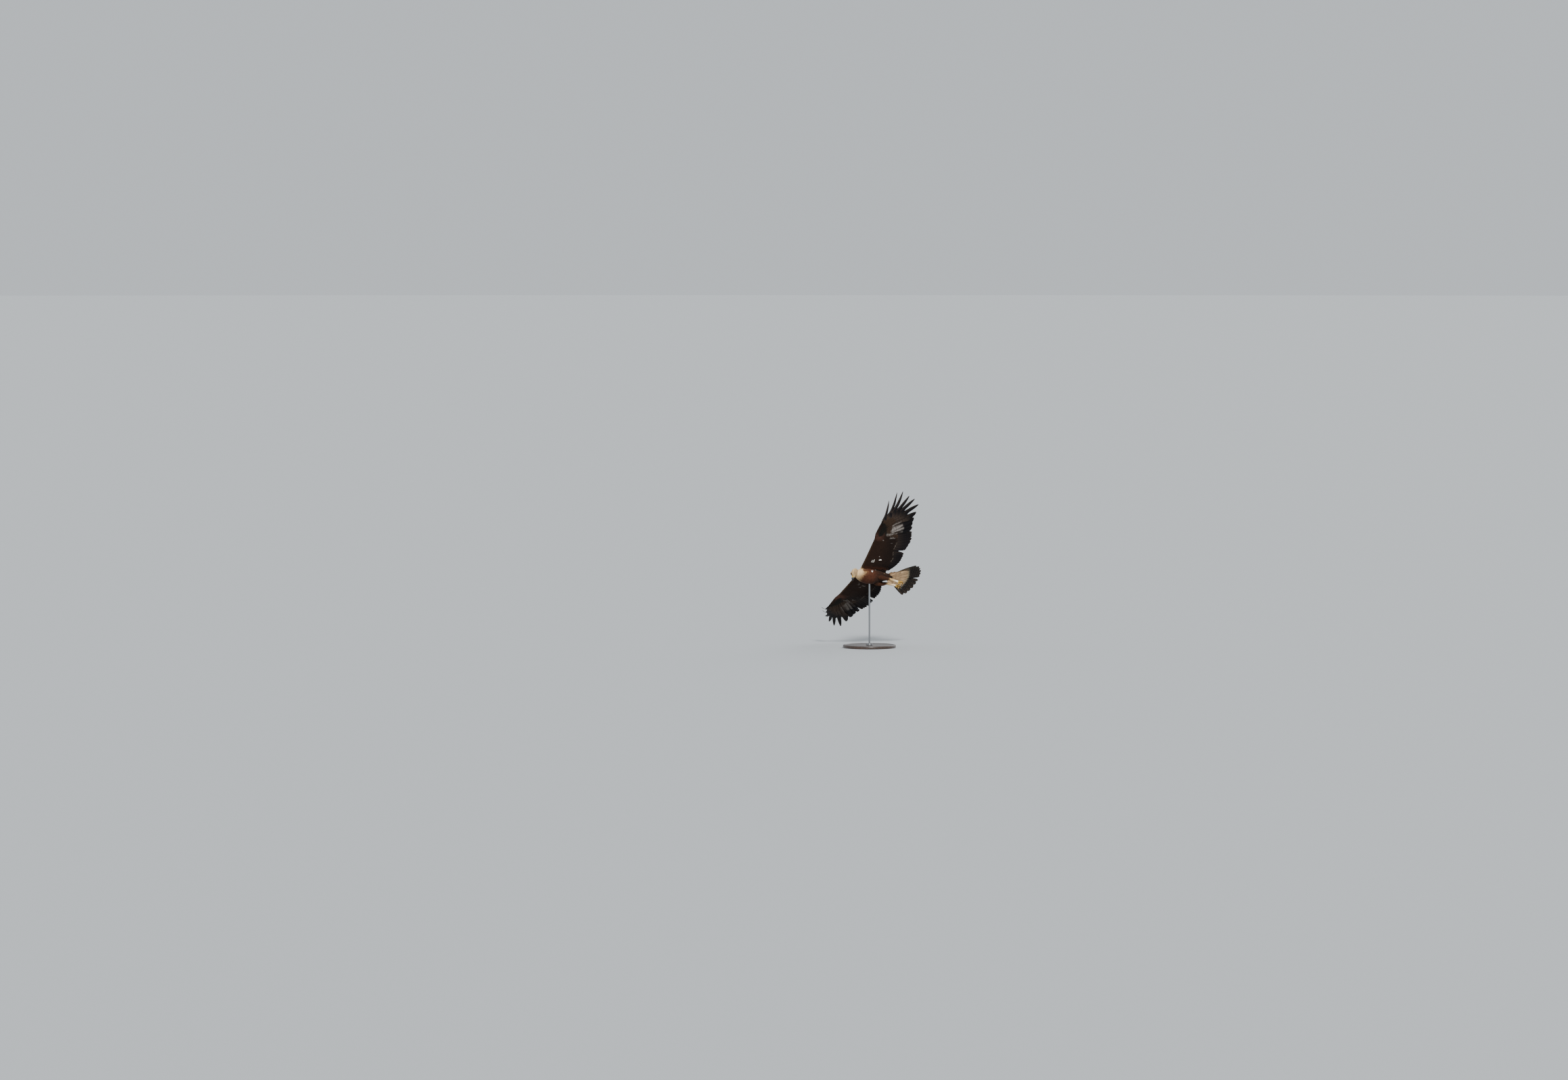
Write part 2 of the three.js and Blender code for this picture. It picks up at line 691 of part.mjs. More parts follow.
// Head, in a frame of its own turned from the bird's
const headFrame = new THREE.Matrix4().makeRotationFromEuler(
  new THREE.Euler(0, degrees(HEAD_BOW), degrees(-HEAD_TURN), "ZYX"),
);
headFrame.setPosition(...HEAD_AT);
const toBird = (solid) => solid.transform(headFrame.elements);
const bothSides = (solid) => solid.add(mirrored(solid));

const skull = uprightForm(HEAD, HEAD_SIDES);
const brow = ball(BROW.at, BROW.radii, BROW.turn, SMALL_SIDES);
const eyeBall = (radius) => ball(EYE_AT, [radius, radius, radius], [0, 0, 0], EYE_SIDES);
const lidOpening = ball(LID_OPENING.at, LID_OPENING.radii, [0, 0, 0], SMALL_SIDES);
const lowerBillForm = (extra) => uprightForm(LOWER_BILL, LOWER_BILL_SIDES, extra);
const grownBill = uprightForm(CERE, BILL_SIDES, GAP).add(lowerBillForm(GAP));

// The slit of the mouth, from its corner forward past the tip of the bill.
const MOUTH_LENGTH = 90;
const MOUTH_WIDTH = 60;
const mouth = box([MOUTH_CORNER + MOUTH_LENGTH / 2, 0, MOUTH_Z], [MOUTH_LENGTH, MOUTH_WIDTH, MOUTH_SLIT]);
const head = skull
  .add(bothSides(brow))
  .add(bothSides(eyeBall(LID_RADIUS)))
  .subtract(bothSides(eyeBall(EYE_RADIUS + GAP)))
  .subtract(bothSides(lidOpening))
  .subtract(grownBill)
  .subtract(mouth);
add("head", toBird(head), 0xb08a55);

const eye = eyeBall(EYE_RADIUS);
add("eye_left", toBird(eye), 0x6b3a12, 0.15);
add("eye_right", toBird(mirrored(eye)), 0x6b3a12, 0.15);

const nostril = ball(NOSTRIL.at, NOSTRIL.radii, NOSTRIL.turn, SMALL_SIDES);
const cere = uprightForm(CERE, BILL_SIDES).subtract(bothSides(nostril)).subtract(mouth);
add("cere", toBird(cere), 0xd8a820, 0.5);
const lowerBill = lowerBillForm(0).trimByPlane([0, 0, -1], -MOUTH_Z + MOUTH_SLIT / 2);
const upperBill = uprightForm(BILL, BILL_SIDES).subtract(lowerBillForm(GAP));
add("bill_upper", toBird(upperBill), 0x2a2a2e, 0.4);
add("bill_lower", toBird(lowerBill), 0x2a2a2e, 0.4);

// Neck, between the cut of the torso and the back of the head
const neck = limb(NECK, HEAD_SIDES)
  .trimByPlane([1, 0, 0], NECK_CUT + GAP / 2)
  .subtract(toBird(uprightForm(HEAD, HEAD_SIDES, GAP)));
add("neck", neck, 0xa87e4a);

// Tail

// Half of the twelve feathers of the fan, the middle pair uppermost, with the coverts
// over and under their bases, longer below than above.
function tailVanes(side, vary) {
  const feathers = RECTRIX_LENGTHS.map((length, k) => ({
    root: [TAIL_CUT - 12, RECTRIX_ROOTS.y + RECTRIX_ROOTS.step * k],
    splay: RECTRIX_SPLAY.first + RECTRIX_SPLAY.step * k + SPLAY_VARIATION * vary(),
    length: length * (1 + VARIATION * vary()),
    outer: k === RECTRIX_LENGTHS.length - 1 ? OUTERMOST_OUTER : RECTRIX_VANE.outer,
    inner: k === 0 ? MIDDLE_INNER : RECTRIX_VANE.inner,
    tilt: k === 0 ? 0 : TILT,
    over: k === 0 ? RECTRIX_DROP.first + PAIR_APART * side : -RECTRIX_DROP.first - RECTRIX_DROP.step * k,
    steps: fanSteps,
  }));
  const coverts = [];
  for (let k = 0; k < TAIL_COVERTS.count; k++) {
    const t = (k + 0.5) / TAIL_COVERTS.count;
    for (const face of [TAIL_COVERTS.above, TAIL_COVERTS.below]) {
      const level = face.level - face.drop * k + (k === 0 ? PAIR_APART * side : 0);
      coverts.push({
        root: [TAIL_CUT - TAIL_COVERTS.start, TAIL_COVERTS.rootsWide * t],
        splay: TAIL_COVERTS.spread * t,
        length: face.length * (1 - 0.22 * t * t) * (1 + 2 * VARIATION * vary()),
        outer: TAIL_COVERTS.outer,
        inner: TAIL_COVERTS.inner,
        tilt: k === 0 ? 0 : face.tilt,
        over: (s) => level * THREE.MathUtils.smoothstep(s, -0.3, 0.5),
        steps: covertSteps,
        thick: COVERT_THICK,
      });
    }
  }
  return [...feathers, ...coverts];
}
const tailTurn = new THREE.Matrix4()
  .makeTranslation(0, 0, TAIL_ROOT_Z)
  .multiply(new THREE.Matrix4().makeRotationX(degrees(TAIL_TWIST)))
  .multiply(new THREE.Matrix4().makeTranslation(0, 0, -TAIL_ROOT_Z));
const tailVary = seeded(SEEDS.tail);
const tailFan = join([
  uprightForm(TAIL_FLESH, TAIL_SIDES),
  ...tailVanes(1, tailVary).map((v) => vane(v, tailHeight)),
  ...tailVanes(-1, tailVary).map((v) => mirrored(vane(v, tailHeight))),
]);
const tail = tailFan.transform(tailTurn.elements).trimByPlane([-1, 0, 0], -TAIL_CUT + GAP / 2);
add("tail", tail, 0x3a2d22);

// Legs
const leg = limb([...THIGH, ...TARSUS], LEG_SIDES);
const thigh = leg.trimByPlane([1, 0, 0], ANKLE_CUT + GAP / 2);
const tarsus = leg
  .trimByPlane([-1, 0, 0], -ANKLE_CUT + GAP / 2)
  .trimByPlane([1, 0, 0], FOOT_CUT + GAP / 2);

// A toe is a bent limb, and its claw goes on from its end and curls further.
function toeAndClaw(path, size, curl) {
  const taper = (k) => size.thick * (1 - 0.07 * k);
  const toe = limb(path.map((p, k) => ({ at: p.toArray(), wide: taper(k), deep: taper(k) })), TOE_SIDES);
  const direction = path.at(-1).clone().sub(path.at(-2)).normalize();
  const at = path.at(-1).clone().addScaledVector(direction, GAP);
  const stations = [];
  for (let k = 0; k <= CLAW_STEPS; k++) {
    const radius = size.thick * 0.68 * (1 - k / (CLAW_STEPS + 0.35));
    stations.push({ at: at.toArray(), wide: radius * 0.8, deep: radius });
    at.addScaledVector(direction, size.claw / CLAW_STEPS);
    direction.applyAxisAngle(curl, degrees(CLAW_BEND)).normalize();
  }
  return { toe, claw: limb(stations, CLAW_SIDES) };
}

function frontToe(size) {
  const out = new THREE.Vector3(-Math.cos(degrees(size.turn)), Math.sin(degrees(size.turn)), 0);
  const up = new THREE.Vector3(0, 0, 1);
  const path = TOE_BEND.map(([forward, down]) =>
    vec(FOOT.at).addScaledVector(out, size.length * forward).addScaledVector(up, -size.length * down),
  );
  return toeAndClaw(path, size, up.clone().cross(out).normalize());
}

const toes = TOES.map((size) => ({ name: size.name, ...frontToe(size) }));
toes.push({ name: "hind", ...toeAndClaw(HIND_TOE.path.map(vec), HIND_TOE, new THREE.Vector3(0, 1, 0)) });
const pad = ball(FOOT.at, FOOT.radii, [0, 0, 0], SMALL_SIDES);
const foot = join([pad, ...toes.map((t) => t.toe)]).trimByPlane([-1, 0, 0], -FOOT_CUT + GAP / 2);

for (const [side, turned] of [["left", (s) => s], ["right", mirrored]]) {
  add("thigh_" + side, turned(thigh).subtract(grownBarrel), 0x5a3a22);
  add("tarsus_" + side, turned(tarsus), 0xc9a877);
  add("foot_" + side, turned(foot), 0xd8a820, 0.6);
  for (const toe of toes) add("claw_" + side + "_" + toe.name, turned(toe.claw), 0x1a1a1c, 0.35);
}

// The bird over its stand
const bird = new THREE.Group();
bird.name = "bird";
bird.add(...PARTS);
bird.rotation.set(degrees(BANK), degrees(-CLIMB), degrees(HEADING), "ZYX");
bird.position.set(-BASE_AT[0], -BASE_AT[1], SHOULDER_HEIGHT);
bird.updateMatrix();

// Stand: a round base and one rod up to the belly
function disc(radius, height, from, segments) {
  const geometry = new THREE.CylinderGeometry(radius, radius, height, segments);
  geometry.rotateX(Math.PI / 2);
  geometry.translate(0, 0, from + height / 2);
  return solidOf(geometry);
}
const belly = grownBarrel.transform(bird.matrix.elements);
const flangeTop = BASE_THICK + GAP + FLANGE_THICK;
const rod = disc(ROD_RADIUS, SHOULDER_HEIGHT - flangeTop, flangeTop + GAP, ROD_SIDES).subtract(belly);
const flange = disc(FLANGE_RADIUS, FLANGE_THICK, BASE_THICK + GAP, FLANGE_SIDES);
const baseTop = BASE_RADIUS - BASE_CHAMFER;
const chamfer = new THREE.CylinderGeometry(baseTop, BASE_RADIUS, BASE_CHAMFER, BASE_SIDES);
chamfer.rotateX(Math.PI / 2);
chamfer.translate(0, 0, BASE_THICK - BASE_CHAMFER / 2);
const base = disc(BASE_RADIUS, BASE_THICK - BASE_CHAMFER, 0, BASE_SIDES).add(solidOf(chamfer));
const stand = [
  meshOf("stand_base", base, 0x2b2522, 0.6),
  meshOf("stand_flange", flange, 0x8a8c8e, 0.35),
  meshOf("stand_rod", rod, 0x8a8c8e, 0.35),
];

const model = new THREE.Group();
model.name = "golden_eagle";
model.add(bird, ...stand);

export default model;
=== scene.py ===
# A golden eagle in a banked turn, life size, held over a round base by one rod.
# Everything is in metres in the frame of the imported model. The bird's own sizes are in
# millimetres in its own frame: X forward, Y to its left and Z towards its back, with
# the origin between the shoulders.
import json
import math

import bmesh
import bpy
import numpy as np
from mathutils import Euler, Matrix, Vector
from mathutils.bvhtree import BVHTree
from mathutils.kdtree import KDTree

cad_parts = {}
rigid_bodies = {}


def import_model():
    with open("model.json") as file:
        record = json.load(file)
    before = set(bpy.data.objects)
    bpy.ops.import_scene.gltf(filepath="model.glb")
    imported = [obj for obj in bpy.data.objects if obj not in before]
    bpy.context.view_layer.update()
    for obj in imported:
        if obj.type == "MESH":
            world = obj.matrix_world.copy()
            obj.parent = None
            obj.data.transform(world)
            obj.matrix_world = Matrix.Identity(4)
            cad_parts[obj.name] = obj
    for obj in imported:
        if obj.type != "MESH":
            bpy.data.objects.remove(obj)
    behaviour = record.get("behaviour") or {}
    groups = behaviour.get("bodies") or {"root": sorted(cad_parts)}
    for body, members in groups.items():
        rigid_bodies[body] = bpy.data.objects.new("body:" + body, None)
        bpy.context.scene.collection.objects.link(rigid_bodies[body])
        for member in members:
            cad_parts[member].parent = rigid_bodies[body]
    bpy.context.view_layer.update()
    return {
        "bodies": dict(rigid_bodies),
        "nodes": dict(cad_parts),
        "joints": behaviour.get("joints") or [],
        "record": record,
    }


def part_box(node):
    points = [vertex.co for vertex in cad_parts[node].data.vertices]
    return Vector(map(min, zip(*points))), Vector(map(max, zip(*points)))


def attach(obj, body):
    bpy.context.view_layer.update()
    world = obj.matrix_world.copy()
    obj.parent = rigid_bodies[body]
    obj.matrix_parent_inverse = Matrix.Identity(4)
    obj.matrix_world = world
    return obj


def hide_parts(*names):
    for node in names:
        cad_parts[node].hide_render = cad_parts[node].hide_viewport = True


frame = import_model()
bpy.ops.object.select_all(action="DESELECT")

# Camera
# The bird is seen from the front and a little above the floor, small in a wide view,
# as through a lens from far off.
CAMERA_LOOKS_AT = Vector((-0.902, -0.002, 1.139))
CAMERA_RISE = math.radians(3)
CAMERA_AWAY = 60.0
VIEW_WIDE = 16.55
SENSOR = 36.0
camera_back = Vector((0, -math.cos(CAMERA_RISE), math.sin(CAMERA_RISE)))
camera_data = bpy.data.cameras.new("camera")
camera_data.sensor_width = SENSOR
camera_data.lens = SENSOR * CAMERA_AWAY / VIEW_WIDE
camera_data.clip_start = 1.0
camera_data.clip_end = 900.0
camera = bpy.data.objects.new("camera", camera_data)
camera.location = CAMERA_LOOKS_AT + camera_back * CAMERA_AWAY
camera.rotation_euler = (math.pi / 2 - CAMERA_RISE, 0, 0)
bpy.context.scene.collection.objects.link(camera)
bpy.context.scene.camera = camera

# Floor and light
# A plain pale floor runs far off into a pale surround. One broad soft key light comes
# from above on the camera's side, and a weak one from behind opens the shadows.
FLOOR_RADIUS = 400.0
FLOOR_HEX = "aeb1b3"
SURROUND_HEX = "dfe5ea"
SURROUND_STRENGTH = 0.85
# Each light: where it comes from, its strength, and its softness in degrees.
LIGHTS = {"key_light": ((0.12, -0.80, 0.58), 4.2, 9), "fill_light": ((0.6, 0.75, 0.5), 0.9, 40)}


def linear(hex_colour):
    parts = [int(hex_colour[i : i + 2], 16) / 255 for i in (0, 2, 4)]
    return [c / 12.92 if c <= 0.04045 else ((c + 0.055) / 1.055) ** 2.4 for c in parts]


def opaque(hex_colour):
    return (*linear(hex_colour), 1)


def add_node(tree, kind, settings, inputs):
    made = tree.nodes.new("ShaderNode" + kind)
    for name, value in settings.items():
        setattr(made, name, value)
    for name, value in inputs.items():
        if isinstance(value, bpy.types.NodeSocket):
            tree.links.new(value, made.inputs[name])
        else:
            made.inputs[name].default_value = value
    return made


def new_material(name, colour_hex, roughness, settings=None):
    """A material, its tree and its shader, with the shader's own constants set."""
    material = bpy.data.materials.new(name)
    material.use_nodes = True
    shader = material.node_tree.nodes["Principled BSDF"]
    shader.inputs["Base Color"].default_value = opaque(colour_hex)
    shader.inputs["Roughness"].default_value = roughness
    for socket, value in (settings or {}).items():
        shader.inputs[socket].default_value = value
    return material, material.node_tree, shader


def on_object(tree):
    return add_node(tree, "TexCoord", {}, {}).outputs["Object"]


def noise(tree, places, scale, detail, distortion=0.0):
    """A fine noise over places, from 0 to 1."""
    inputs = {"Vector": places, "Scale": scale, "Detail": detail, "Distortion": distortion}
    return add_node(tree, "TexNoise", {}, inputs).outputs["Fac"]


def relief(tree, shader, height, strength, distance=0.001):
    """Bumps on a surface, from a height and how far they stand out."""
    bump = add_node(tree, "Bump", {}, {"Strength": strength, "Distance": distance, "Height": height})
    tree.links.new(bump.outputs["Normal"], shader.inputs["Normal"])


bpy.ops.mesh.primitive_circle_add(vertices=128, radius=FLOOR_RADIUS, fill_type="NGON")
floor = bpy.context.object
floor.name = "floor"
floor_paint, tree, shader = new_material("matt floor paint", FLOOR_HEX, 0.9)
relief(tree, shader, noise(tree, on_object(tree), 3.0, 4.0), 0.05)
floor.data.materials.append(floor_paint)

for name, (direction, strength, softness) in LIGHTS.items():
    light = bpy.data.lights.new(name, "SUN")
    light.energy = strength
    light.angle = math.radians(softness)
    lamp = bpy.data.objects.new(name, light)
    lamp.rotation_euler = Vector(direction).to_track_quat("Z", "Y").to_euler()
    bpy.context.scene.collection.objects.link(lamp)

world = bpy.data.worlds.new("surround")
bpy.context.scene.world = world
world.use_nodes = True
background = world.node_tree.nodes["Background"]
background.inputs["Color"].default_value = opaque(SURROUND_HEX)
background.inputs["Strength"].default_value = SURROUND_STRENGTH

# Stand base
# A round turned board that carries the rod. Its rim is rounded over and a shallow step
# runs round the top. It is dark stained oak under a satin lacquer.
BASE_EDGE = 0.007
BASE_STEP_IN = 0.022
BASE_STEP_DOWN = 0.003
GRAIN_MM = 7


def finish_piece(piece, name, material, slot_name, *nodes):
    """Names a finished piece, puts its place in its mesh and ties it to the model."""
    piece.data.transform(piece.matrix_world)
    piece.matrix_world = Matrix.Identity(4)
    piece.name = name
    piece.data.name = name
    piece.data.materials.clear()
    piece.data.materials.append(material)
    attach(piece, "root")
    if nodes:
        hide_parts(*nodes)
    bpy.ops.object.select_all(action="DESELECT")


def chosen(*pieces):
    """Selects these pieces and no others, with the first of them active."""
    bpy.ops.object.select_all(action="DESELECT")
    for piece in pieces:
        piece.select_set(True)
    bpy.context.view_layer.objects.active = pieces[0]


def modify(piece, kind, settings):
    """Adds a modifier and applies it."""
    chosen(piece)
    modifier = piece.modifiers.new(kind.lower(), kind)
    for name, value in settings.items():
        setattr(modifier, name, value)
    bpy.ops.object.modifier_apply(modifier=modifier.name)


def bevel(piece, width, segments, degrees):
    """Rounds the edges that turn by more than some degrees."""
    sizes = {"width": width, "segments": segments, "angle_limit": math.radians(degrees)}
    modify(piece, "BEVEL", {"limit_method": "ANGLE", **sizes})


def smooth_to(degrees):
    """Shades the active piece smooth over every edge that turns by less than this."""
    bpy.ops.object.shade_smooth_by_angle(angle=math.radians(degrees))


def select_faces(piece, wanted):
    """Opens a piece in edit mode, with only the wanted faces selected."""
    bpy.ops.object.mode_set(mode="EDIT")
    bpy.ops.mesh.select_mode(type="FACE")
    bpy.ops.mesh.select_all(action="DESELECT")
    bpy.ops.object.mode_set(mode="OBJECT")
    for face in piece.data.polygons:
        face.select = wanted(face)
    bpy.ops.object.mode_set(mode="EDIT")


def select_top(piece):
    select_faces(piece, lambda face: face.normal.z > 0.9)


def cylinder(radius, low, high, sides):
    bpy.ops.mesh.primitive_cylinder_add(
        vertices=sides, radius=radius, depth=high - low, location=(0, 0, (high + low) / 2)
    )
    return bpy.context.object


def stretched(tree, scale):
    """Places on the object, drawn out along the axes of a low scale."""
    return add_node(tree, "Mapping", {}, {"Vector": on_object(tree), "Scale": scale}).outputs["Vector"]


def two_tones(tree, shader, share, *stops):
    """Colours a surface by a ramp of two tones. Each stop is a place and a colour."""
    ramp = add_node(tree, "ValToRGB", {}, {"Fac": share})
    for element, (place, tone) in zip(ramp.color_ramp.elements, stops):
        element.position = place
        element.color = opaque(tone)
    tree.links.new(ramp.outputs["Color"], shader.inputs["Base Color"])


base_low, base_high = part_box("stand_base")
base_radius = (base_high.x - base_low.x) / 2
board = cylinder(base_radius, base_low.z, base_high.z, 144)
select_top(board)
bpy.ops.mesh.inset(thickness=BASE_STEP_IN, depth=0)
bpy.ops.mesh.inset(thickness=BASE_STEP_DOWN, depth=-BASE_STEP_DOWN)
bpy.ops.object.mode_set(mode="OBJECT")
bevel(board, BASE_EDGE, 4, 60)
smooth_to(40)

# Stained oak: open grain in long streaks, a little darker where the stain soaks in.
lacquer = {"Coat Weight": 0.35, "Coat Roughness": 0.25}
oak, tree, shader = new_material("dark stained oak", "2c211a", 0.42, lacquer)
figure = noise(tree, stretched(tree, (1.0, 0.07, 1.0)), 1000 / GRAIN_MM, 6.0, 0.6)
two_tones(tree, shader, figure, (0.36, "1b130f"), (0.66, "48352a"))
relief(tree, shader, figure, 0.12, 0.0006)
finish_piece(board, "base_board", oak, "stand_wood", "stand_base")

# Rod and flange
# One straight rod of brushed steel stands in a turned flange, which three countersunk
# screws hold to the board. Its upper end is let into the belly.
ROD_LET_IN = 0.012
SCREWS = 3
SCREW_RADIUS = 0.0042
SCREW_HIGH = 0.0016
COLLAR_RADIUS = 0.014
COLLAR_HIGH = 0.006
COLLAR_EDGE = 0.0012
BRUSH_MM = 0.9
flange_low, flange_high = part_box("stand_flange")
rod_low, rod_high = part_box("stand_rod")
flange_radius = (flange_high.x - flange_low.x) / 2
rod_radius = (rod_high.x - rod_low.x) / 2
steel, tree, shader = new_material("brushed steel", "9a9c9e", 0.3, {"Metallic": 1.0})
scratches = noise(tree, stretched(tree, (0.04, 0.04, 1.0)), 1000 / BRUSH_MM, 3.0)
relief(tree, shader, scratches, 0.15, 0.0002)

rod = cylinder(rod_radius, flange_high.z, rod_high.z + ROD_LET_IN, 48)
smooth_to(40)
finish_piece(rod, "rod", steel, "stand_steel", "stand_rod")

flange = cylinder(flange_radius, base_high.z - BASE_STEP_DOWN, flange_high.z, 96)
select_top(flange)
bpy.ops.mesh.inset(thickness=flange_radius - COLLAR_RADIUS, depth=0)
bpy.ops.mesh.extrude_region_move(TRANSFORM_OT_translate={"value": (0, 0, COLLAR_HIGH)})
bpy.ops.object.mode_set(mode="OBJECT")
bevel(flange, COLLAR_EDGE, 3, 60)
smooth_to(40)
finish_piece(flange, "flange", steel, "stand_steel", "stand_flange")

for k in range(SCREWS):
    turn = 2 * math.pi * (k + 0.25) / SCREWS
    out = (flange_radius + COLLAR_RADIUS) / 2
    bpy.ops.mesh.primitive_uv_sphere_add(
        segments=24, ring_count=12, radius=SCREW_RADIUS,
        location=(out * math.cos(turn), out * math.sin(turn), flange_high.z),
        scale=(1, 1, SCREW_HIGH / SCREW_RADIUS),
    )
    bpy.ops.object.shade_smooth()
    finish_piece(bpy.context.object, f"screw_{k + 1}", steel, "stand_steel")

# The bird's own frame
# The whole bird is banked and set over the stand. Its head has a frame of its own, with
# X out through the bill, turned to the right and bowed.
BIRD_AT = Vector((-0.070, -0.020, 0.800))
BIRD_TURN = Euler((math.radians(45.7), math.radians(-8.6), math.radians(207.8)), "XYZ")
HEAD_AT = Vector((116, 2, -35))
HEAD_TURN = Euler((0, math.radians(45), math.radians(-72)), "XYZ")
bird = Matrix.Translation(BIRD_AT) @ BIRD_TURN.to_matrix().to_4x4() @ Matrix.Scale(0.001, 4)
head = Matrix.Translation(HEAD_AT) @ HEAD_TURN.to_matrix().to_4x4()


def moved(points, matrix):
    """Points of an array through a matrix."""
    m = np.array(matrix)
    return np.asarray(points, float) @ m[:3, :3].T + m[:3, 3]


def unit(vectors):
    return vectors / np.maximum(np.linalg.norm(vectors, axis=-1, keepdims=True), 1e-9)


def through(stations, values, where):
    """A smooth curve through values at rising stations, read at any places between."""
    stations = np.asarray(stations, float)
    values = np.asarray(values, float)
    slopes = np.gradient(values, stations, axis=0)
    k = np.clip(np.searchsorted(stations, where, side="right") - 1, 0, len(stations) - 2)
    step = stations[k + 1] - stations[k]
    t = np.clip((where - stations[k]) / step, 0, 1)
    if values.ndim > 1:
        lift = (...,) + (None,) * (values.ndim - 1)
        step, t = step[lift], t[lift]
    return (
        (1 + 2 * t) * (1 - t) ** 2 * values[k]
        + t * (1 - t) ** 2 * step * slopes[k]
        + t * t * (3 - 2 * t) * values[k + 1]
        + t * t * (t - 1) * step * slopes[k + 1]
    )


def upright(x, z, wide, up, down):
    """A ring's frame across X: its circle is scaled to the ring's width and height."""
    return Matrix(((0, 0, 1, x), (wide, 0, 0, 0), (0, (up + down) / 2, 0, z + (up - down) / 2), (0, 0, 0, 1)))


def square_to(path, wides, deeps):
    """Frames of rings square to a path and carried along it without a twist."""
    points = [Vector(p) for p in path]
    frames = []
    aside = None
    for k, point in enumerate(points):
        along = (points[min(k + 1, len(points) - 1)] - points[max(k - 1, 0)]).normalized()
        if aside is None:
            aside = Vector((0, 0, 1)).cross(along)
            if aside.length < 0.1:
                aside = Vector((0, 1, 0))
        aside = (aside - along * aside.dot(along)).normalized()
        up = along.cross(aside)
        columns = (aside * wides[k], up * deeps[k], along, point)
        frames.append(Matrix([[c[i] for c in columns] for i in range(3)] + [[0, 0, 0, 1]]))
    return frames


def face_outward(piece):
    """Turns the faces of a closed piece outwards."""
    chosen(piece)
    bpy.ops.object.mode_set(mode="EDIT")
    bpy.ops.mesh.select_all(action="SELECT")
    bpy.ops.mesh.normals_make_consistent(inside=False)
    bpy.ops.object.mode_set(mode="OBJECT")
    return piece


def drawn_out(frames, sides, section=None):
    """A closed form: a circle, or a section of its own, extruded from ring to ring."""
    bpy.ops.mesh.primitive_circle_add(vertices=sides, radius=1, fill_type="NOTHING")
    piece = bpy.context.object
    bpy.ops.object.mode_set(mode="EDIT")
    bpy.ops.mesh.select_mode(type="VERT")
    bpy.ops.mesh.select_all(action="SELECT")
    before = Matrix.Identity(4)
    if section:
        edited = bmesh.from_edit_mesh(piece.data)
        for v in edited.verts:
            v.co.x, v.co.y = section(v.co.x, v.co.y)
    for k, after in enumerate(frames):
        if k:
            bpy.ops.mesh.extrude_region_move()
        edited = bmesh.from_edit_mesh(piece.data)
        ring = [v for v in edited.verts if v.select]
        bmesh.ops.transform(edited, matrix=after @ before.inverted(), verts=ring)
        bmesh.update_edit_mesh(piece.data)
        before = after
    bpy.ops.mesh.edge_face_add()
    bpy.ops.mesh.select_all(action="DESELECT")
    edited = bmesh.from_edit_mesh(piece.data)
    edited.verts.ensure_lookup_table()
    for v in edited.verts[:sides]:
        v.select = True
    edited.select_flush(True)
    bmesh.update_edit_mesh(piece.data)
    bpy.ops.mesh.edge_face_add()
    bpy.ops.object.mode_set(mode="OBJECT")
    return face_outward(piece)


# Skin
# One skin of all the flesh, from the face to the feathered shanks and out along the
# wings. The plumage grows from it, so it lies inside the bird's outline by the depth of
# the coat, and takes the coat's colours.
COAT = 5.0
# Rings from front to back: place along X, height of the middle, half width, and how far
# up and down from the middle.
TORSO = [
    (96, -35, 30, 28, 32), (66, -36, 58, 48, 54), (24, -40, 78, 66, 74), (-35, -44, 90, 76, 84),
    (-100, -44, 86, 72, 80), (-170, -38, 72, 60, 64), (-240, -28, 56, 43, 46), (-300, -18, 44, 29, 31),
    (-340, -12, 37, 22, 22), (-395, -5, 34, 10, 14), (-425, 0, 26, 4, 8),
]
NECK = {
    "path": [(36, 0, -38), (66, 0, -38), (84, 3, -37), (104, 6, -36)],
    "wide": [66, 57, 45, 34],
    "deep": [58, 51, 40, 30],
}
HEAD = [
    (38, -2, 15, 16.5, 17), (31, -1, 21.5, 21, 23), (22, -1, 29.5, 25.5, 28), (12, -1, 34, 28.5, 31.5),
    (-2, -1, 36.5, 31, 34), (-16, -1, 37, 32, 35), (-32, -2, 32, 30, 33), (-44, -3, 23, 22, 25),
    (-52, -4, 10, 10, 11),
]
HEAD_COAT = 3.0
THIGH = {
    "path": [
        (-112, 42, -68), (-150, 46, -84), (-185, 47, -94), (-235, 42, -93), (-272, 36, -84), (-290, 34, -84),
    ],
    "wide": [18, 30, 29, 22, 15, 13],
    "deep": [16, 28, 28, 23, 17, 14],
}
SHANK = {
    "path": [(-284, 34, -84), (-330, 32, -92), (-385, 30, -101)],
    "wide": [13, 12, 12],
    "deep": [14, 13, 12],
}
SHANK_COAT = 2.5
VOXEL = 3.1

# The wing's outline: distance from the midline, front edge and its height, back edge
# and its height.
EDGES = np.array(
    [
        (0, 50, -12, -285, -12), (86, 52, 3, -287, -3), (170, 51, 19, -309, -18), (260, 50, 38, -331, -11),
        (330, 50, 53, -325, -6), (400, 51, 68, -322, 8), (485, 72, 76, -344, 44), (530, 75, 80, -350, 58),
        (608, 72, 90, -313, 74), (677, 66, 101, -292, 88), (785, 35, 115, -265, 103),
        (1000, -110, 143, -190, 126),
    ],
    float,
)
CAMBER = 0.035
CURL = {"from": 640, "share": 0.0012, "reach": 120}
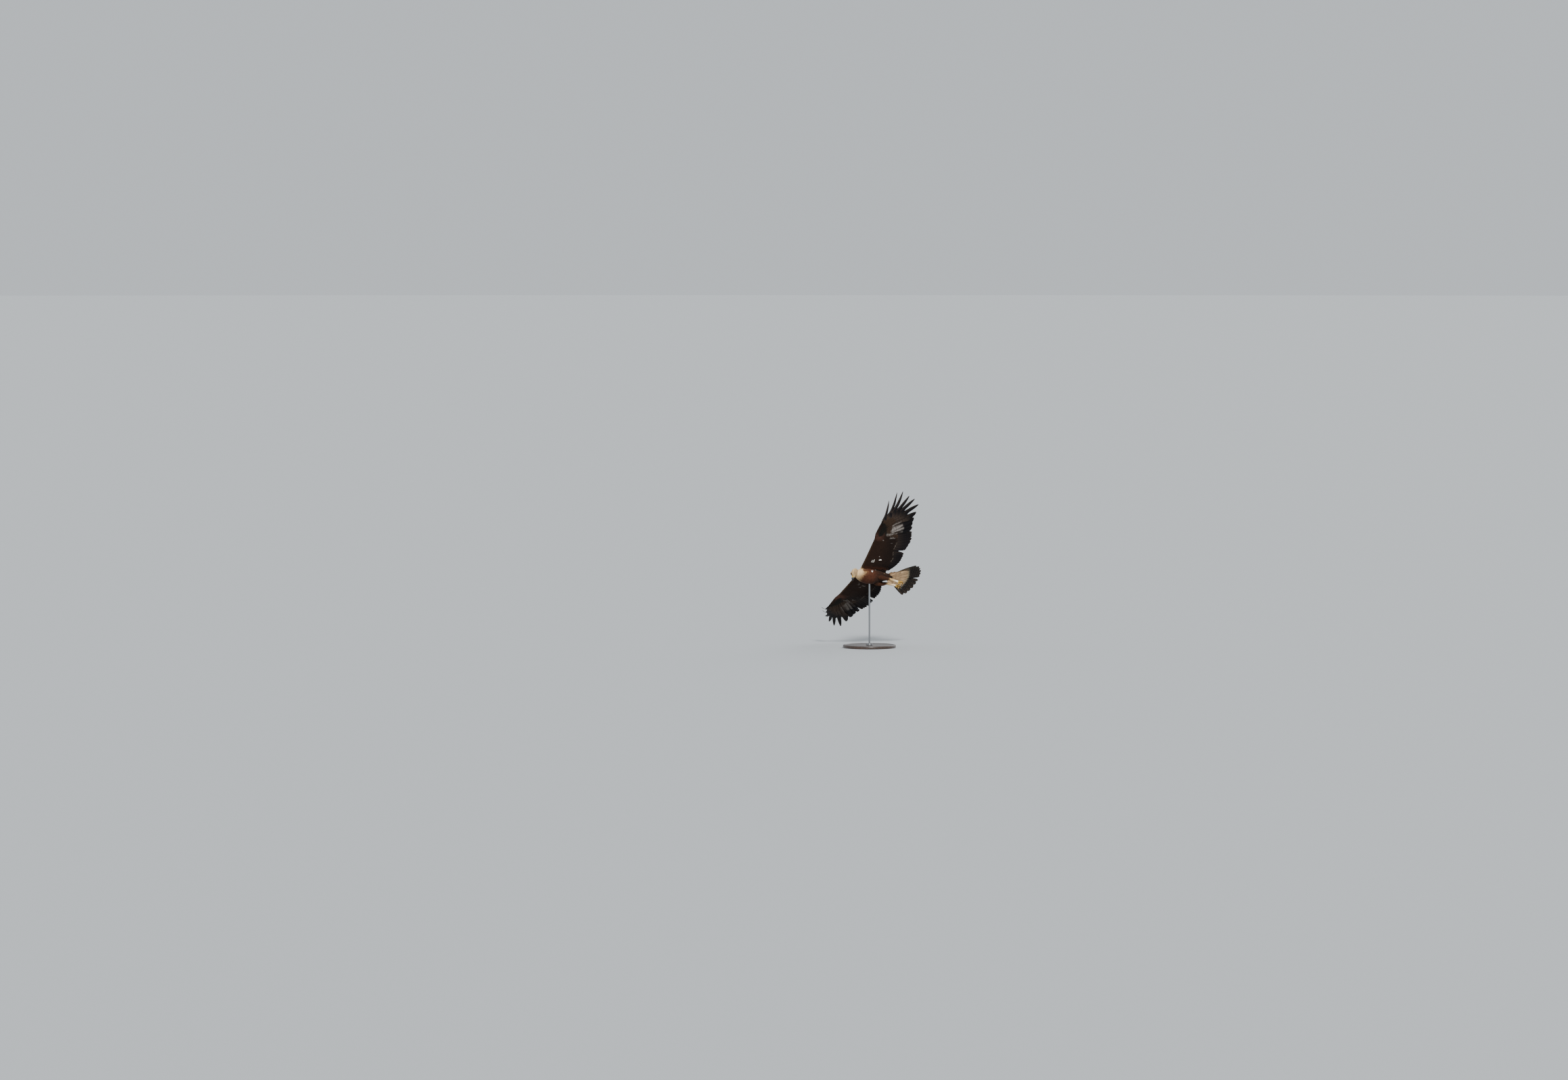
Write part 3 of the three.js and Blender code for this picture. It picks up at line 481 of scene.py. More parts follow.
# The fleshed part: distance from the midline, front, back, and thickness.
FLESH = np.array(
    [
        (20, 50, -215, 54), (86, 52, -205, 46), (165, 51, -198, 41), (250, 50, -190, 36),
        (345, 50, -168, 31), (425, 52, -140, 27), (500, 72, -108, 23), (566, 74, -60, 18),
        (627, 71, -12, 12), (679, 60, 30, 6),
    ],
    float,
)
SECTION_STEPS = [0, 0.05, 0.2, 0.5, 0.8, 1, 1.25, 1.7, 2.6]
SECTION_THICK = [0.3, 0.78, 1, 0.88, 0.55, 0.34, 0.22, 0.13, 0.06]
FLESH_SHARES = np.array([0.012, 0.04, 0.1, 0.2, 0.35, 0.5, 0.65, 0.8, 0.9, 0.97])
WING_COAT = 2.5
WING_THIN = 1.6
# Rounded forms of the face in the head's frame: middle and radii.
BROW = ((17, 25.4, 13.6), (22, 7.4, 5.0))
BROW_TURN = (9, -25)
CHEEK = ((4, 25, -9), (22, 9.5, 9))
CHIN = ((36, 0, -16.5), (14, 8.6, 4.8))


def smooth(x, low, high):
    t = np.clip((np.asarray(x, float) - low) / (high - low), 0, 1)
    return t * t * (3 - 2 * t)


def read_at(table, where):
    """The columns of a table, read anywhere along its first one."""
    return np.moveaxis(through(table[:, 0], table[:, 1:], where), -1, 0)


def wing_height(x, y):
    """Height of the wing's middle surface over the plan."""
    front, front_z, back, back_z = read_at(EDGES, np.clip(y, 0, 1000))
    chord = front - back
    c = np.clip((front - x) / chord, 0, 1)
    camber = CAMBER * chord * 4 * c * (1 - c) * (1 - smooth(y, 560, 780))
    beyond = np.maximum(0, y - CURL["from"])
    curl = CURL["share"] * beyond**2 * np.exp((x - 10) / CURL["reach"])
    return front_z + (back_z - front_z) * c + camber + curl


def wing_half(x, y):
    """Half the wing's thickness there, from flesh and the roots of its feathers."""
    front, back, thick = read_at(FLESH, np.clip(y, 20, 679))
    share = np.clip((front - x) / (front - back), 0, 2.6)
    return np.maximum(thick * np.interp(share, SECTION_STEPS, SECTION_THICK), 3.0) / 2


def placed(mesh):
    """A piece in the scene that holds a mesh."""
    piece = bpy.data.objects.new(mesh.name, mesh)
    bpy.context.scene.collection.objects.link(piece)
    return piece


def wing_flesh(side):
    """The flesh of one wing as a closed form of sections from the body outwards."""
    y = np.linspace(20, 672, 44)[:, None]
    front, back, _ = read_at(FLESH, y)
    x = front + (back - front) * FLESH_SHARES
    half = np.maximum(wing_half(x, y) - WING_COAT, WING_THIN)
    middle = wing_height(x, y)
    upper, lower = (np.stack([x, side * y + 0 * x, z], -1) for z in (middle + half, middle - half))
    rings = np.concatenate([upper, lower[:, ::-1]], 1)
    number, count, _ = rings.shape
    faces = [
        (k + i, k + (i + 1) % count, k + count + (i + 1) % count, k + count + i)
        for k in range(0, (number - 1) * count, count)
        for i in range(count)
    ]
    faces += [tuple(range(count)), tuple(reversed(range((number - 1) * count, number * count)))]
    mesh = bpy.data.meshes.new("wing_flesh")
    mesh.from_pydata(rings.reshape(-1, 3).tolist(), [], faces)
    return face_outward(placed(mesh))


def rings_frames(sizes, inset):
    return [upright(x, z, wide - inset, up - inset, down - inset) for x, z, wide, up, down in sizes]


def limb_frames(limb, inset, side=1):
    path = [(x, side * y, z) for x, y, z in limb["path"]]
    return square_to(path, [w - inset for w in limb["wide"]], [d - inset for d in limb["deep"]])


def in_head(frames):
    return [head @ ring for ring in frames]


def egg_frame(within, at, radii, side=1, lean=Matrix.Identity(4)):
    """The frame of an egg on one side, from its middle and its three radii."""
    return within @ Matrix.Translation((at[0], side * at[1], at[2])) @ lean @ Matrix.Diagonal((*radii, 1))


def egg(frame, segments=24, rings=12):
    bpy.ops.mesh.primitive_uv_sphere_add(segments=segments, ring_count=rings, radius=1)
    bpy.context.object.data.transform(frame)
    return bpy.context.object


def joined(pieces):
    chosen(*pieces)
    bpy.ops.object.join()
    return pieces[0]


def read_vertices(mesh):
    values = np.empty(len(mesh.vertices) * 3)
    mesh.vertices.foreach_get("co", values)
    return values.reshape(-1, 3)


torso_frames = rings_frames(TORSO[:-2], COAT) + rings_frames(TORSO[-2:], 2)
neck_frames = limb_frames(NECK, COAT)
head_frames = in_head(rings_frames(HEAD, HEAD_COAT))
forms = [drawn_out(frames, 40) for frames in (torso_frames, neck_frames, head_frames)]
brow_frames = []
for side in (1, -1):
    forms.append(wing_flesh(side))
    forms.append(drawn_out(limb_frames(THIGH, COAT, side), 24))
    forms.append(drawn_out(limb_frames(SHANK, SHANK_COAT, side), 24))
    lean = Euler((0, math.radians(BROW_TURN[0]), math.radians(BROW_TURN[1] * side)), "XYZ")
    brow_frames.append(egg_frame(head, *BROW, side, lean.to_matrix().to_4x4()))
    forms += [egg(brow_frames[-1]), egg(egg_frame(head, *CHEEK, side))]
chin_frame = egg_frame(head, *CHIN)
skin = joined([*forms, egg(chin_frame)])
modify(skin, "REMESH", {"mode": "VOXEL", "voxel_size": VOXEL, "use_smooth_shade": True})
modify(skin, "SMOOTH", {"factor": 0.5, "iterations": 4})
bpy.ops.object.mode_set(mode="EDIT")
bpy.ops.mesh.select_all(action="SELECT")
bpy.ops.uv.smart_project(angle_limit=math.radians(66), island_margin=0.002)
bpy.ops.object.mode_set(mode="OBJECT")
skin.data.uv_layers[0].name = "OFBake"
skin_points = read_vertices(skin.data)
skin_faces = [tuple(face.vertices) for face in skin.data.polygons]
skin_tree = BVHTree.FromPolygons(skin_points.tolist(), skin_faces)
skin_uv = np.empty(len(skin.data.loops) * 2)
skin.data.uv_layers[0].data.foreach_get("uv", skin_uv)
skin_uv = skin_uv.reshape(-1, 2)
skin_first_loop = np.array([face.loop_start for face in skin.data.polygons])

# Plumage
# Every feather is a thin closed vane, thickest along its shaft and sharp at its edges.
# Its colours are kept on the corners of its faces, its own UV map gives the distance
# across and along the vane in metres, and its place on the skin goes in the bake's map.
UP, UNDER = 0, 1
BAKE_PATCH = 0.003
coat_roots = []
coat_colours = []


def colour(hex_colour):
    return np.array(linear(hex_colour))


def mix(a, b, share):
    share = np.asarray(share, float)[..., None]
    return a * (1 - share) + b * share


def on_patches(roots):
    """Where each feather goes in the bake's map: a patch at its root on the skin."""
    faces = [skin_tree.find_nearest(Vector(root))[2] for root in roots]
    places = skin_uv[skin_first_loop[faces]][:, None, None]
    return lambda side, u, t: places + np.stack([u * BAKE_PATCH / 2, (t - 0.5) * BAKE_PATCH], -1)


def on_strips(count):
    """Where each large feather goes: a strip of the map for each of its faces."""

    def strip(side, u, t):
        place = (2 * np.arange(count)[:, None, None] + side + (u * 0.46 + 0.5)) / (2 * count)
        return np.stack([place, np.broadcast_to(0.01 + 0.98 * t, place.shape)], -1)

    return strip


def feather_batch(grid, normal, half, across, along, tints, bake_place, marks=0.0):
    """Arrays of one batch of like feathers, all in the bird's frame."""
    count, rows, columns, _ = grid.shape
    rim = np.arange(rows * columns).reshape(rows, columns)
    lower = rim.copy()
    lower[1:-1, 1:-1] = rows * columns + np.arange((rows - 2) * (columns - 2)).reshape(rows - 2, columns - 2)
    place_of = np.concatenate([rim.ravel(), rim[1:-1, 1:-1].ravel()])
    points = np.concatenate(
        [
            (grid + normal * half[..., None]).reshape(count, -1, 3),
            (grid - normal * half[..., None])[:, 1:-1, 1:-1].reshape(count, -1, 3),
        ],
        axis=1,
    )

    # Two corners are split the other way, so that no face has all its points on the rim.
    corner = np.zeros((rows - 1, columns - 1, 1), bool)
    corner[0, 0] = corner[-1, -1] = True

    def split(index, turned):
        a, b, c, d = index[:-1, :-1], index[:-1, 1:], index[1:, :-1], index[1:, 1:]
        first = np.where(corner, np.stack([a, b, d], -1), np.stack([a, b, c], -1))
        second = np.where(corner, np.stack([a, d, c], -1), np.stack([b, d, c], -1))
        faces = np.concatenate([first.reshape(-1, 3), second.reshape(-1, 3)])
        return faces[:, ::-1] if turned else faces

    # The faces are turned over where the grid runs the other way round.
    middle = rows // 2
    step = np.cross(grid[:, middle, 1] - grid[:, middle, 0], grid[:, middle + 1, 0] - grid[:, middle, 0])
    turned = np.sum(step * normal[:, middle, 0]) < 0
    faces = np.concatenate([split(rim, turned), split(lower, not turned)])
    corners = place_of[faces]
    faces_of = list(zip((UP, UNDER), np.split(corners, 2)))

    def on_corners(values, at, *width):
        values = np.broadcast_to(values, (count, rows, columns, *width))
        return values.reshape(count, rows * columns, *width)[:, at]

    u = np.tile(np.linspace(-1, 1, columns), rows)
    t = np.repeat(np.linspace(0, 1, rows), columns)
    return {
        "points": points,
        "faces": faces,
        "tint": np.concatenate([on_corners(tints[side], at, 3) for side, at in faces_of], 1),
        "bake": np.concatenate([bake_place(side, u[at], t[at]) for side, at in faces_of], 1),
        "vane": np.stack([on_corners(across, corners), on_corners(along, corners)], -1) / 1000,
        "mark": on_corners(marks, corners),
    }


def keep_tint(mesh, colours, domain):
    """Keeps linear colours on the points of a mesh, or on the corners of its faces."""
    rgba = np.concatenate([colours, np.ones((len(colours), 1))], axis=1)
    attribute = mesh.color_attributes.new(name="tint", type="FLOAT_COLOR", domain=domain)
    attribute.data.foreach_set("color", rgba.astype(np.float32).ravel())


def plumage_piece(name, batches, material, slot_name, *nodes):
    """One mesh of all the feathers in some batches, put in its place in the model."""
    widths = {"points": 3, "tint": 3, "bake": 2, "vane": 2, "mark": 1}
    whole = {
        key: np.concatenate([batch[key].reshape(-1, width) for batch in batches])
        for key, width in widths.items()
    }
    faces, start = [], 0
    for batch in batches:
        count, each, _ = batch["points"].shape
        faces.append((batch["faces"][None] + start + each * np.arange(count)[:, None, None]).reshape(-1, 3))
        start += count * each
    faces = np.concatenate(faces)
    mesh = bpy.data.meshes.new(name)
    mesh.vertices.add(start)
    mesh.vertices.foreach_set("co", moved(whole["points"], bird).astype(np.float32).ravel())
    mesh.loops.add(faces.size)
    mesh.loops.foreach_set("vertex_index", faces.astype(np.int32).ravel())
    mesh.polygons.add(len(faces))
    mesh.polygons.foreach_set("loop_start", np.arange(0, faces.size, 3, dtype=np.int32))
    mesh.update(calc_edges=True)
    for layer, key in (("OFBake", "bake"), ("vane", "vane")):
        mesh.uv_layers.new(name=layer).data.foreach_set("uv", whole[key].astype(np.float32).ravel())
    keep_tint(mesh, whole["tint"], "CORNER")
    attribute = mesh.attributes.new(name="mark", type="FLOAT", domain="CORNER")
    attribute.data.foreach_set("value", whole["mark"].astype(np.float32).ravel())
    piece = placed(mesh)
    chosen(piece)
    smooth_to(75)
    finish_piece(piece, name, material, slot_name, *nodes)


def maths(tree, operation, *values):
    return add_node(tree, "Math", {"operation": operation}, dict(enumerate(values))).outputs[0]


def between(tree, value, low, high, start=0.0, end=1.0, kind="LINEAR"):
    """A value of one range carried over to another."""
    inputs = {"Value": value, "From Min": low, "From Max": high, "To Min": start, "To Max": end}
    return add_node(tree, "MapRange", {"interpolation_type": kind}, inputs).outputs["Result"]


def blend(tree, share, first, second, kind="MIX"):
    inputs = {"Factor": share, 6: first, 7: second}
    return add_node(tree, "Mix", {"data_type": "RGBA", "blend_type": kind}, inputs).outputs[2]


def shaded(tree, shade):
    """The tint kept in the mesh, made lighter or darker by a shade."""
    tint = add_node(tree, "VertexColor", {"layer_name": "tint"}, {}).outputs["Color"]
    return blend(tree, 1.0, tint, shade, "MULTIPLY")


# How the barbs slant back from the shaft, and in metres how far they waver, and how
# far apart the bars of a barred feather stand and waver.
BARB_SLANT = -1.25
BARB_WAVER = 0.004
BARS_APART = 0.028
BAR_WAVER = 0.02


def feather_material(name, barb_mm, shaft_hex, shaft_mm, roughness, sheen, bar_hex="1d1815"):
    """A vane: fine barbs slant from a shaft on both sides, with a soft satin gloss."""
    settings = {"Sheen Weight": sheen, "Sheen Roughness": 0.45, "Specular IOR Level": 0.07}
    material, tree, shader = new_material(name, "4a3525", roughness, settings)
    mark = add_node(tree, "Attribute", {"attribute_name": "mark"}, {}).outputs["Fac"]
    vane = add_node(tree, "UVMap", {"uv_map": "vane"}, {}).outputs["UV"]
    place = add_node(tree, "SeparateXYZ", {}, {"Vector": vane}).outputs
    across = maths(tree, "ABSOLUTE", place["X"])
    slant = maths(tree, "MULTIPLY_ADD", across, BARB_SLANT, place["Y"])
    wavering = maths(tree, "MULTIPLY_ADD", noise(tree, vane, 260.0, 3.0), BARB_WAVER, slant)
    barbs = maths(tree, "SINE", maths(tree, "MULTIPLY", wavering, 2 * math.pi * 1000 / barb_mm))
    streaks = between(tree, barbs, -1.0, 1.0, 0.92, 1.05)
    blotches = noise(tree, vane, 70.0, 5.0)
    patchy = between(tree, blotches, 0.3, 0.7, 0.84, 1.14)
    toned = shaded(tree, maths(tree, "MULTIPLY", streaks, patchy))
    bar_place = maths(tree, "MULTIPLY_ADD", blotches, BAR_WAVER, place["Y"])
    bar_wave = maths(tree, "SINE", maths(tree, "MULTIPLY", bar_place, 2 * math.pi / BARS_APART))
    barred = maths(tree, "MULTIPLY", between(tree, bar_wave, 0.1, 0.8, kind="SMOOTHSTEP"), mark)
    marked = blend(tree, barred, toned, opaque(bar_hex))
    on_shaft = between(tree, across, shaft_mm / 2000, shaft_mm / 1200, 0.75, 0.0, "SMOOTHSTEP")
    shafted = blend(tree, on_shaft, marked, opaque(shaft_hex))
    tree.links.new(shafted, shader.inputs["Base Color"])
    relief(tree, shader, maths(tree, "ADD", barbs, on_shaft), 0.22, 0.0003)
    return material


# Barbs of a real vane stand about 0.5 mm apart. They are drawn coarser, to show.
flight_vane = feather_material("stiff flight vane", 1.4, "43362c", 2.2, 0.62, 0.02)
body_vane = feather_material("soft body vane", 1.1, "241710", 0.5, 0.76, 0.04)
gold_vane = feather_material("golden hackle", 0.9, "b08f60", 0.4, 0.6, 0.1)
down_vane = feather_material("short leg down", 0.9, "c4ad88", 0.4, 0.8, 0.15)


def blurred(values, rng, share):
    """Values varied a little for each feather."""
    return values * (1 + share * rng.uniform(-1, 1, np.shape(values)))


# The most that a path leaves the skin at one step, where the skin falls away.
SKIN_DROP = 5


def walked(roots, lies, lengths, shares):
    """Paths over the skin from each root along its lie, with the skin's normals."""
    points = np.empty((len(roots), len(shares), 3))
    normals = np.empty_like(points)
    for k, root in enumerate(roots):
        at, normal = skin_tree.find_nearest(Vector(root))[:2]
        direction = Vector(lies[k])
        done = 0.0
        for j, share in enumerate(shares):
            step = (share - done) * lengths[k]
            done = share
            direction = (direction - normal * direction.dot(normal)).normalized()
            ahead = at + direction * step
            if step > 0:
                at, found = skin_tree.find_nearest(ahead)[:2]
                ahead_off = ahead - at
                if ahead_off.length > SKIN_DROP:
                    at = ahead - ahead_off * (SKIN_DROP / ahead_off.length)
                normal = (normal + found).normalized() if normal.dot(found) > -0.2 else normal
            points[k, j] = at
            normals[k, j] = normal
    return points, normals


# Outlines of small feathers: shares of the length, and of the width there.
ROUND_TIP = ([0, 0.22, 0.45, 0.68, 0.86, 0.96, 1], [0.25, 0.62, 0.9, 1, 0.8, 0.42, 0.08])
POINTED_TIP = ([0, 0.2, 0.42, 0.62, 0.8, 0.92, 1], [0.3, 0.78, 1, 0.92, 0.66, 0.36, 0.05])
SMALL_TIP = ([0, 0.35, 0.7, 1], [0.4, 0.95, 0.9, 0.25])
# How far the sides of a small feather curve down, as a share of its width.
CROWN_DROP = 0.05
RINGS_BETWEEN = 6


def half_thickness(thick, u, shares, across):
    """Half the thickness over each vane, nothing at its sides and at both ends."""
    half = thick / 2 * (1 - u**2)[None, None] * (1 - 0.6 * shares)[None, :, None] * np.ones(across.shape)
    half[:, [0, -1]] = 0
    return half


def laid(paths, normals, lengths, widths, shape, lift, sink, thick, rng):
    """Grids of feathers laid along paths, tips lifted clear of those they cover."""
    shares, profile = np.array(shape[0]), np.array(shape[1])
    height = -sink + (lift + sink) * shares**1.15
    middle = paths + normals * (height[None, :] * np.ones((len(paths), 1)))[..., None]
    tangent = unit(np.gradient(middle, axis=1))
    aside = unit(np.cross(normals, tangent))
    facing = unit(np.cross(tangent, aside))
    u = np.linspace(-1, 1, 3)
    wide = profile[None] * widths[:, None]
    offset = blurred(u[None, None] * (wide / 2)[..., None], rng, 0.1)
    drop = -CROWN_DROP * (u**2)[None, None] * wide[..., None]
    grid = middle[:, :, None] + aside[:, :, None] * offset[..., None] + facing[:, :, None] * drop[..., None]
    along = shares[None, :, None] * lengths[:, None, None]
    return grid, facing[:, :, None], half_thickness(thick, u, shares, offset), offset, along


def painted(base, edge, amount, columns, shares):
    """Colours from the shaft to a paler or darker edge and tip."""
    u = np.linspace(-1, 1, columns)
    weight = np.clip(0.7 * (u**2)[None] + 0.9 * (np.array(shares) ** 4)[:, None], 0, 1) * amount
    weight = np.broadcast_to(weight, (len(base), *weight.shape))
    return mix(base[:, None, None], edge[:, None, None], weight)


def small_feathers(grid, normal, half, across, along, roots, colours, vary, fringe, shares, rng):
    """A batch of small feathers, each of a tone of its own, that colours the skin too."""
    base, edge = colours
    tone = 1 + vary * rng.uniform(-1, 1, (len(roots), 1))
    tint = painted(base * tone, edge * tone, fringe, grid.shape[2], shares)
    coat_roots.append(roots)
    coat_colours.append(mix(base, edge, 0.3))
    return feather_batch(grid, normal, half, across, along, (tint, tint), on_patches(roots))


def coat_batch(roots, lies, lengths, widths, base, edge, rng, **how):
    """Feathers over the skin from their roots, lies, sizes and colours."""
    shape = how.get("shape", ROUND_TIP)
    paths, normals = walked(roots, lies, lengths, shape[0])
    lift, sink, thick = how.get("lift", 3.0), how.get("sink", 0.6), how.get("thick", 0.5)
    vary, fringe = how.get("vary", 0.14), how.get("fringe", 0.6)
    vanes = laid(paths, normals, lengths, widths, shape, lift, sink, thick, rng)
    return small_feathers(*vanes, roots, (base, edge), vary, fringe, shape[0], rng)


def ring_points(frames, sides):
    """Closely spaced rings over a form, as points."""
    turn = np.linspace(0, 2 * math.pi, sides, endpoint=False)
    circle = np.stack([np.cos(turn), np.sin(turn), np.zeros(sides)], -1)
    rings = np.array([moved(circle, ring) for ring in frames])
    last = len(rings) - 1
    return through(np.arange(last + 1), rings, np.linspace(0, last, last * RINGS_BETWEEN + 1))


def rows_over(frames, step_along, step_round, rng, jitter=0.16, slack=3.5, sides=48):
    """Roots in staggered rows round a form, where it shows at the skin, each with its
    lie along the form and its share of the way along."""
    rings = ring_points(frames, sides)
    apart = np.linalg.norm(np.diff(rings, axis=0), axis=-1).mean(axis=1)
    distance = np.concatenate([[0], np.cumsum(apart)])
    roots, lies, shares = [], [], []
    at, row = 0.3 * step_along, 0
    while at < distance[-1]:
        k = int(np.clip(np.searchsorted(distance, at) - 1, 0, len(rings) - 2))
        f = (at - distance[k]) / max(distance[k + 1] - distance[k], 1e-6)
        ring = rings[k] * (1 - f) + rings[k + 1] * f
        onward = rings[k + 1] - rings[k]
        around = np.linalg.norm(np.diff(np.concatenate([ring, ring[:1]]), axis=0), axis=1).sum()
        number = max(5, int(round(around / step_round)))
        place = (np.arange(number) + 0.5 * (row % 2) + jitter * rng.uniform(-1, 1, number)) / number * sides
        i = np.floor(place).astype(int)
        g = (place - i)[:, None]
        forward = jitter * step_along * rng.uniform(-1, 1, (number, 1))
        lie = unit(onward[i % sides] * (1 - g) + onward[(i + 1) % sides] * g)
        roots.append(ring[i % sides] * (1 - g) + ring[(i + 1) % sides] * g + lie * forward)
        lies.append(lie)
        shares.append(np.full(number, at / distance[-1]))
        at += step_along
        row += 1
    return only(on_skin(np.concatenate(roots), slack), *map(np.concatenate, (roots, lies, shares)))


def on_skin(roots, slack):
    """Which roots lie on the outside of the skin and not buried inside it."""
    return np.array([skin_tree.find_nearest(Vector(root))[3] < slack for root in roots])


def only(kept, *arrays):
    return [values[kept] for values in arrays]


# Body feathers
# Round-tipped contour feathers lie backwards over the breast, belly and back like
# tiles. The breast is rufous with a few odd white feathers, the back dark brown with
# paler edges.
RUFOUS = colour("43261a")
BELLY = colour("20140f")
MANTLE = colour("251b14")
MANTLE_EDGE = colour("4d3927")
CREAM = colour("dcb988")
WHITE = colour("ebe5da")
FLANK = colour("2a1c14")
NAPE = colour("8f6239")
# Places of the white feathers and their radii, and both ends of the pale flank streak.
WHITE_SPOTS = [(-26, 88, -55, 10), (-86, 78, -9, 8), (-150, 66, -111, 8)]
PALE_STREAK = [(-180, 68, -29), (-200, 72, -97)]
STREAK_RADIUS = 9
# How far apart the feathers stand, along the form and round it.
BODY_APART = (13.5, 12.5)
NECK_APART = (6.5, 6.6)
BODY_END = -400
# Longer feathers lie over the hip: its place along and up, and how far they reach.
HIP = (-118, -62)
HIP_RADIUS = 48
# Feathers with more red at the root than this are hackles.
PALE_RED = 0.11
# Rows of the shoulder feathers: their distances from the midline, and the front, back
# and spacing along each.
SHOULDER_ROWS = (32, 43, 54, 65, 76)
SHOULDER_RUN = (26, -190, -18)
ABOVE_BACK = 200


def near_line(points, a, b, radius, taper=0.0):
    a, b = np.array(a, float), np.array(b, float)
    share = np.clip((points - a) @ (b - a) / ((b - a) @ (b - a)), 0, 1)
    gap = np.linalg.norm(points - (a + share[..., None] * (b - a)), axis=-1)
    radius = radius * (1 - taper * share)
    return 1 - smooth(gap, radius * 0.5, radius)


def beside_wing(points):
    """How near places on the shoulders are to the front of a wing."""
    x, y, z = points.T
    return smooth(np.abs(y), 46, 62) * smooth(z, -62, -46) * smooth(x, 0, 30)


def body_colours(points):
    """Colours over the body, from the shaft and at the edge of each feather."""
    x, y, z = points.T
    back = smooth(z, -38, 8)
    # Behind the breast the belly turns a darker brown: partly its own colour, partly painted shade under the
    # body.
    below = mix(BELLY, RUFOUS, smooth(x, -150, -30))
    below = mix(below, FLANK, 0.7 * smooth(-z, -70, -20) * smooth(-x, 20, 120))
    base = mix(below, MANTLE, back)
    edge = mix(below * 1.6, MANTLE_EDGE, back)
    vent = smooth(-x, 292, 335) * (1 - 0.75 * back)
    base = mix(base, CREAM, vent)
    edge = mix(edge, CREAM * 1.05, vent)
    nape = smooth(x, 6, 70) * smooth(z, -92, -52) * (1 - 0.8 * beside_wing(points))
    gold = mix(NAPE, CREAM, smooth(x, 34, 84))
    base = mix(base, gold, nape)
    edge = mix(edge, mix(gold, CREAM, 0.6), nape)
    gaps = [(np.linalg.norm(points - spot[:3], axis=1), spot[3]) for spot in WHITE_SPOTS]
    white = np.max([1 - smooth(gap, radius * 0.6, radius * 1.5) for gap, radius in gaps], axis=0)
    pale = 0.6 * near_line(points, *PALE_STREAK, STREAK_RADIUS)
    return [mix(mix(tone, WHITE, white), CREAM, pale) for tone in (base, edge)]


rng = np.random.default_rng(3)
roots, lies, _ = rows_over(torso_frames, *BODY_APART, rng, 0.24)
roots, lies = only(roots[:, 0] > BODY_END, roots, lies)
base, edge = body_colours(roots)
lengths = blurred(np.interp(roots[:, 0], [-330, -200, -60, 80], [56, 50, 43, 38]), rng, 0.1)
by_thigh = np.hypot(roots[:, 0] - HIP[0], roots[:, 2] - HIP[1]) < HIP_RADIUS
lengths = np.where(by_thigh & (np.abs(roots[:, 1]) > 12), lengths * 1.35, lengths)
pale = base[:, 0] > PALE_RED
lengths = lengths * (1 - np.where(pale, 0.5, 0.12) * beside_wing(roots))
widths = blurred(np.minimum(lengths, 42) * 0.55, rng, 0.1)
brown = only(~pale, roots, lies, lengths, widths, base, edge)
body_batches = [coat_batch(*brown, rng, lift=2.4, vary=0.2)]
shawl = only(pale, roots, lies, lengths, widths * 0.75, base, edge)
hackles = [coat_batch(*shawl, rng, shape=POINTED_TIP, lift=3.0, fringe=0.8)]
roots, lies, _ = rows_over(neck_frames[::-1], *NECK_APART, rng, 0.3)
lengths = blurred(31 - 19 * beside_wing(roots), rng, 0.12)
how = {"shape": POINTED_TIP, "lift": 2.4, "fringe": 0.8}
hackles.insert(0, coat_batch(roots, lies, lengths, lengths * 0.3, *body_colours(roots), rng, **how))
# Longer feathers of the shoulders lie over the join of each wing with the back.
front, back, step = SHOULDER_RUN
places = [
    (x + 3 * rng.uniform(-1, 1), side * (y + 2.5 * rng.uniform(-1, 1)), side)
    for side in (1, -1)
    for row, y in enumerate(SHOULDER_ROWS)
    for x in np.arange(front + step / 2 * (row % 2), back, step)
]
downwards = Vector((0, 0, -1))
roots = np.array([skin_tree.ray_cast(Vector((x, y, ABOVE_BACK)), downwards)[0] for x, y, _ in places])
lies = unit(np.array([(-1, 0.1 * side, 0) for _, _, side in places]))
lengths = blurred(np.interp(roots[:, 0], [-190, -60, 30], [66, 56, 36]), rng, 0.08)
how = {"lift": 4.2, "vary": 0.2}
body_batches.append(coat_batch(roots, lies, lengths, lengths * 0.42, *body_colours(roots), rng, **how))
plumage_piece("body_feathers", body_batches, body_vane, "brown_plumage", "torso")
plumage_piece("neck_hackles", hackles, gold_vane, "golden_plumage", "neck")

# Flight feathers
# Ten stiff primaries fan out from each hand, the outer seven narrowed to fingers that
# the air bends up, and eleven secondaries and six tertials close the wing behind.
# Each primary from the innermost out: length, splay in degrees, widths of the outer and
# inner web, where the finger starts, what it leaves of each web, rise of the tip, tilt.
PRIMARIES = [
    (376, 30.5, 17, 48, 1, 1, 1, 0, 8.5), (382, 37.3, 17, 50, 1, 1, 1, 0, 8.5),
    (409, 42.8, 18, 52, 1, 1, 1, 0, 8.5), (453, 49.4, 18, 52, 0.8, 0.75, 0.75, 0, 8.5),
    (507, 56.9, 17, 50, 0.64, 0.65, 0.6, -10, 8.5), (505, 62.6, 16, 48, 0.6, 0.6, 0.52, 12, 8.5),
    (464, 66.6, 15, 46, 0.57, 0.55, 0.5, 33, 8.5), (427, 70.6, 14, 44, 0.54, 0.55, 0.5, 79, 10),
    (350, 72.9, 12, 40, 0.48, 0.6, 0.52, 110, 12), (234, 80.2, 10, 30, 0.4, 0.65, 0.65, 86, 14),
]
PRIMARY_ROOTS = ((28, 479), (62, 602))
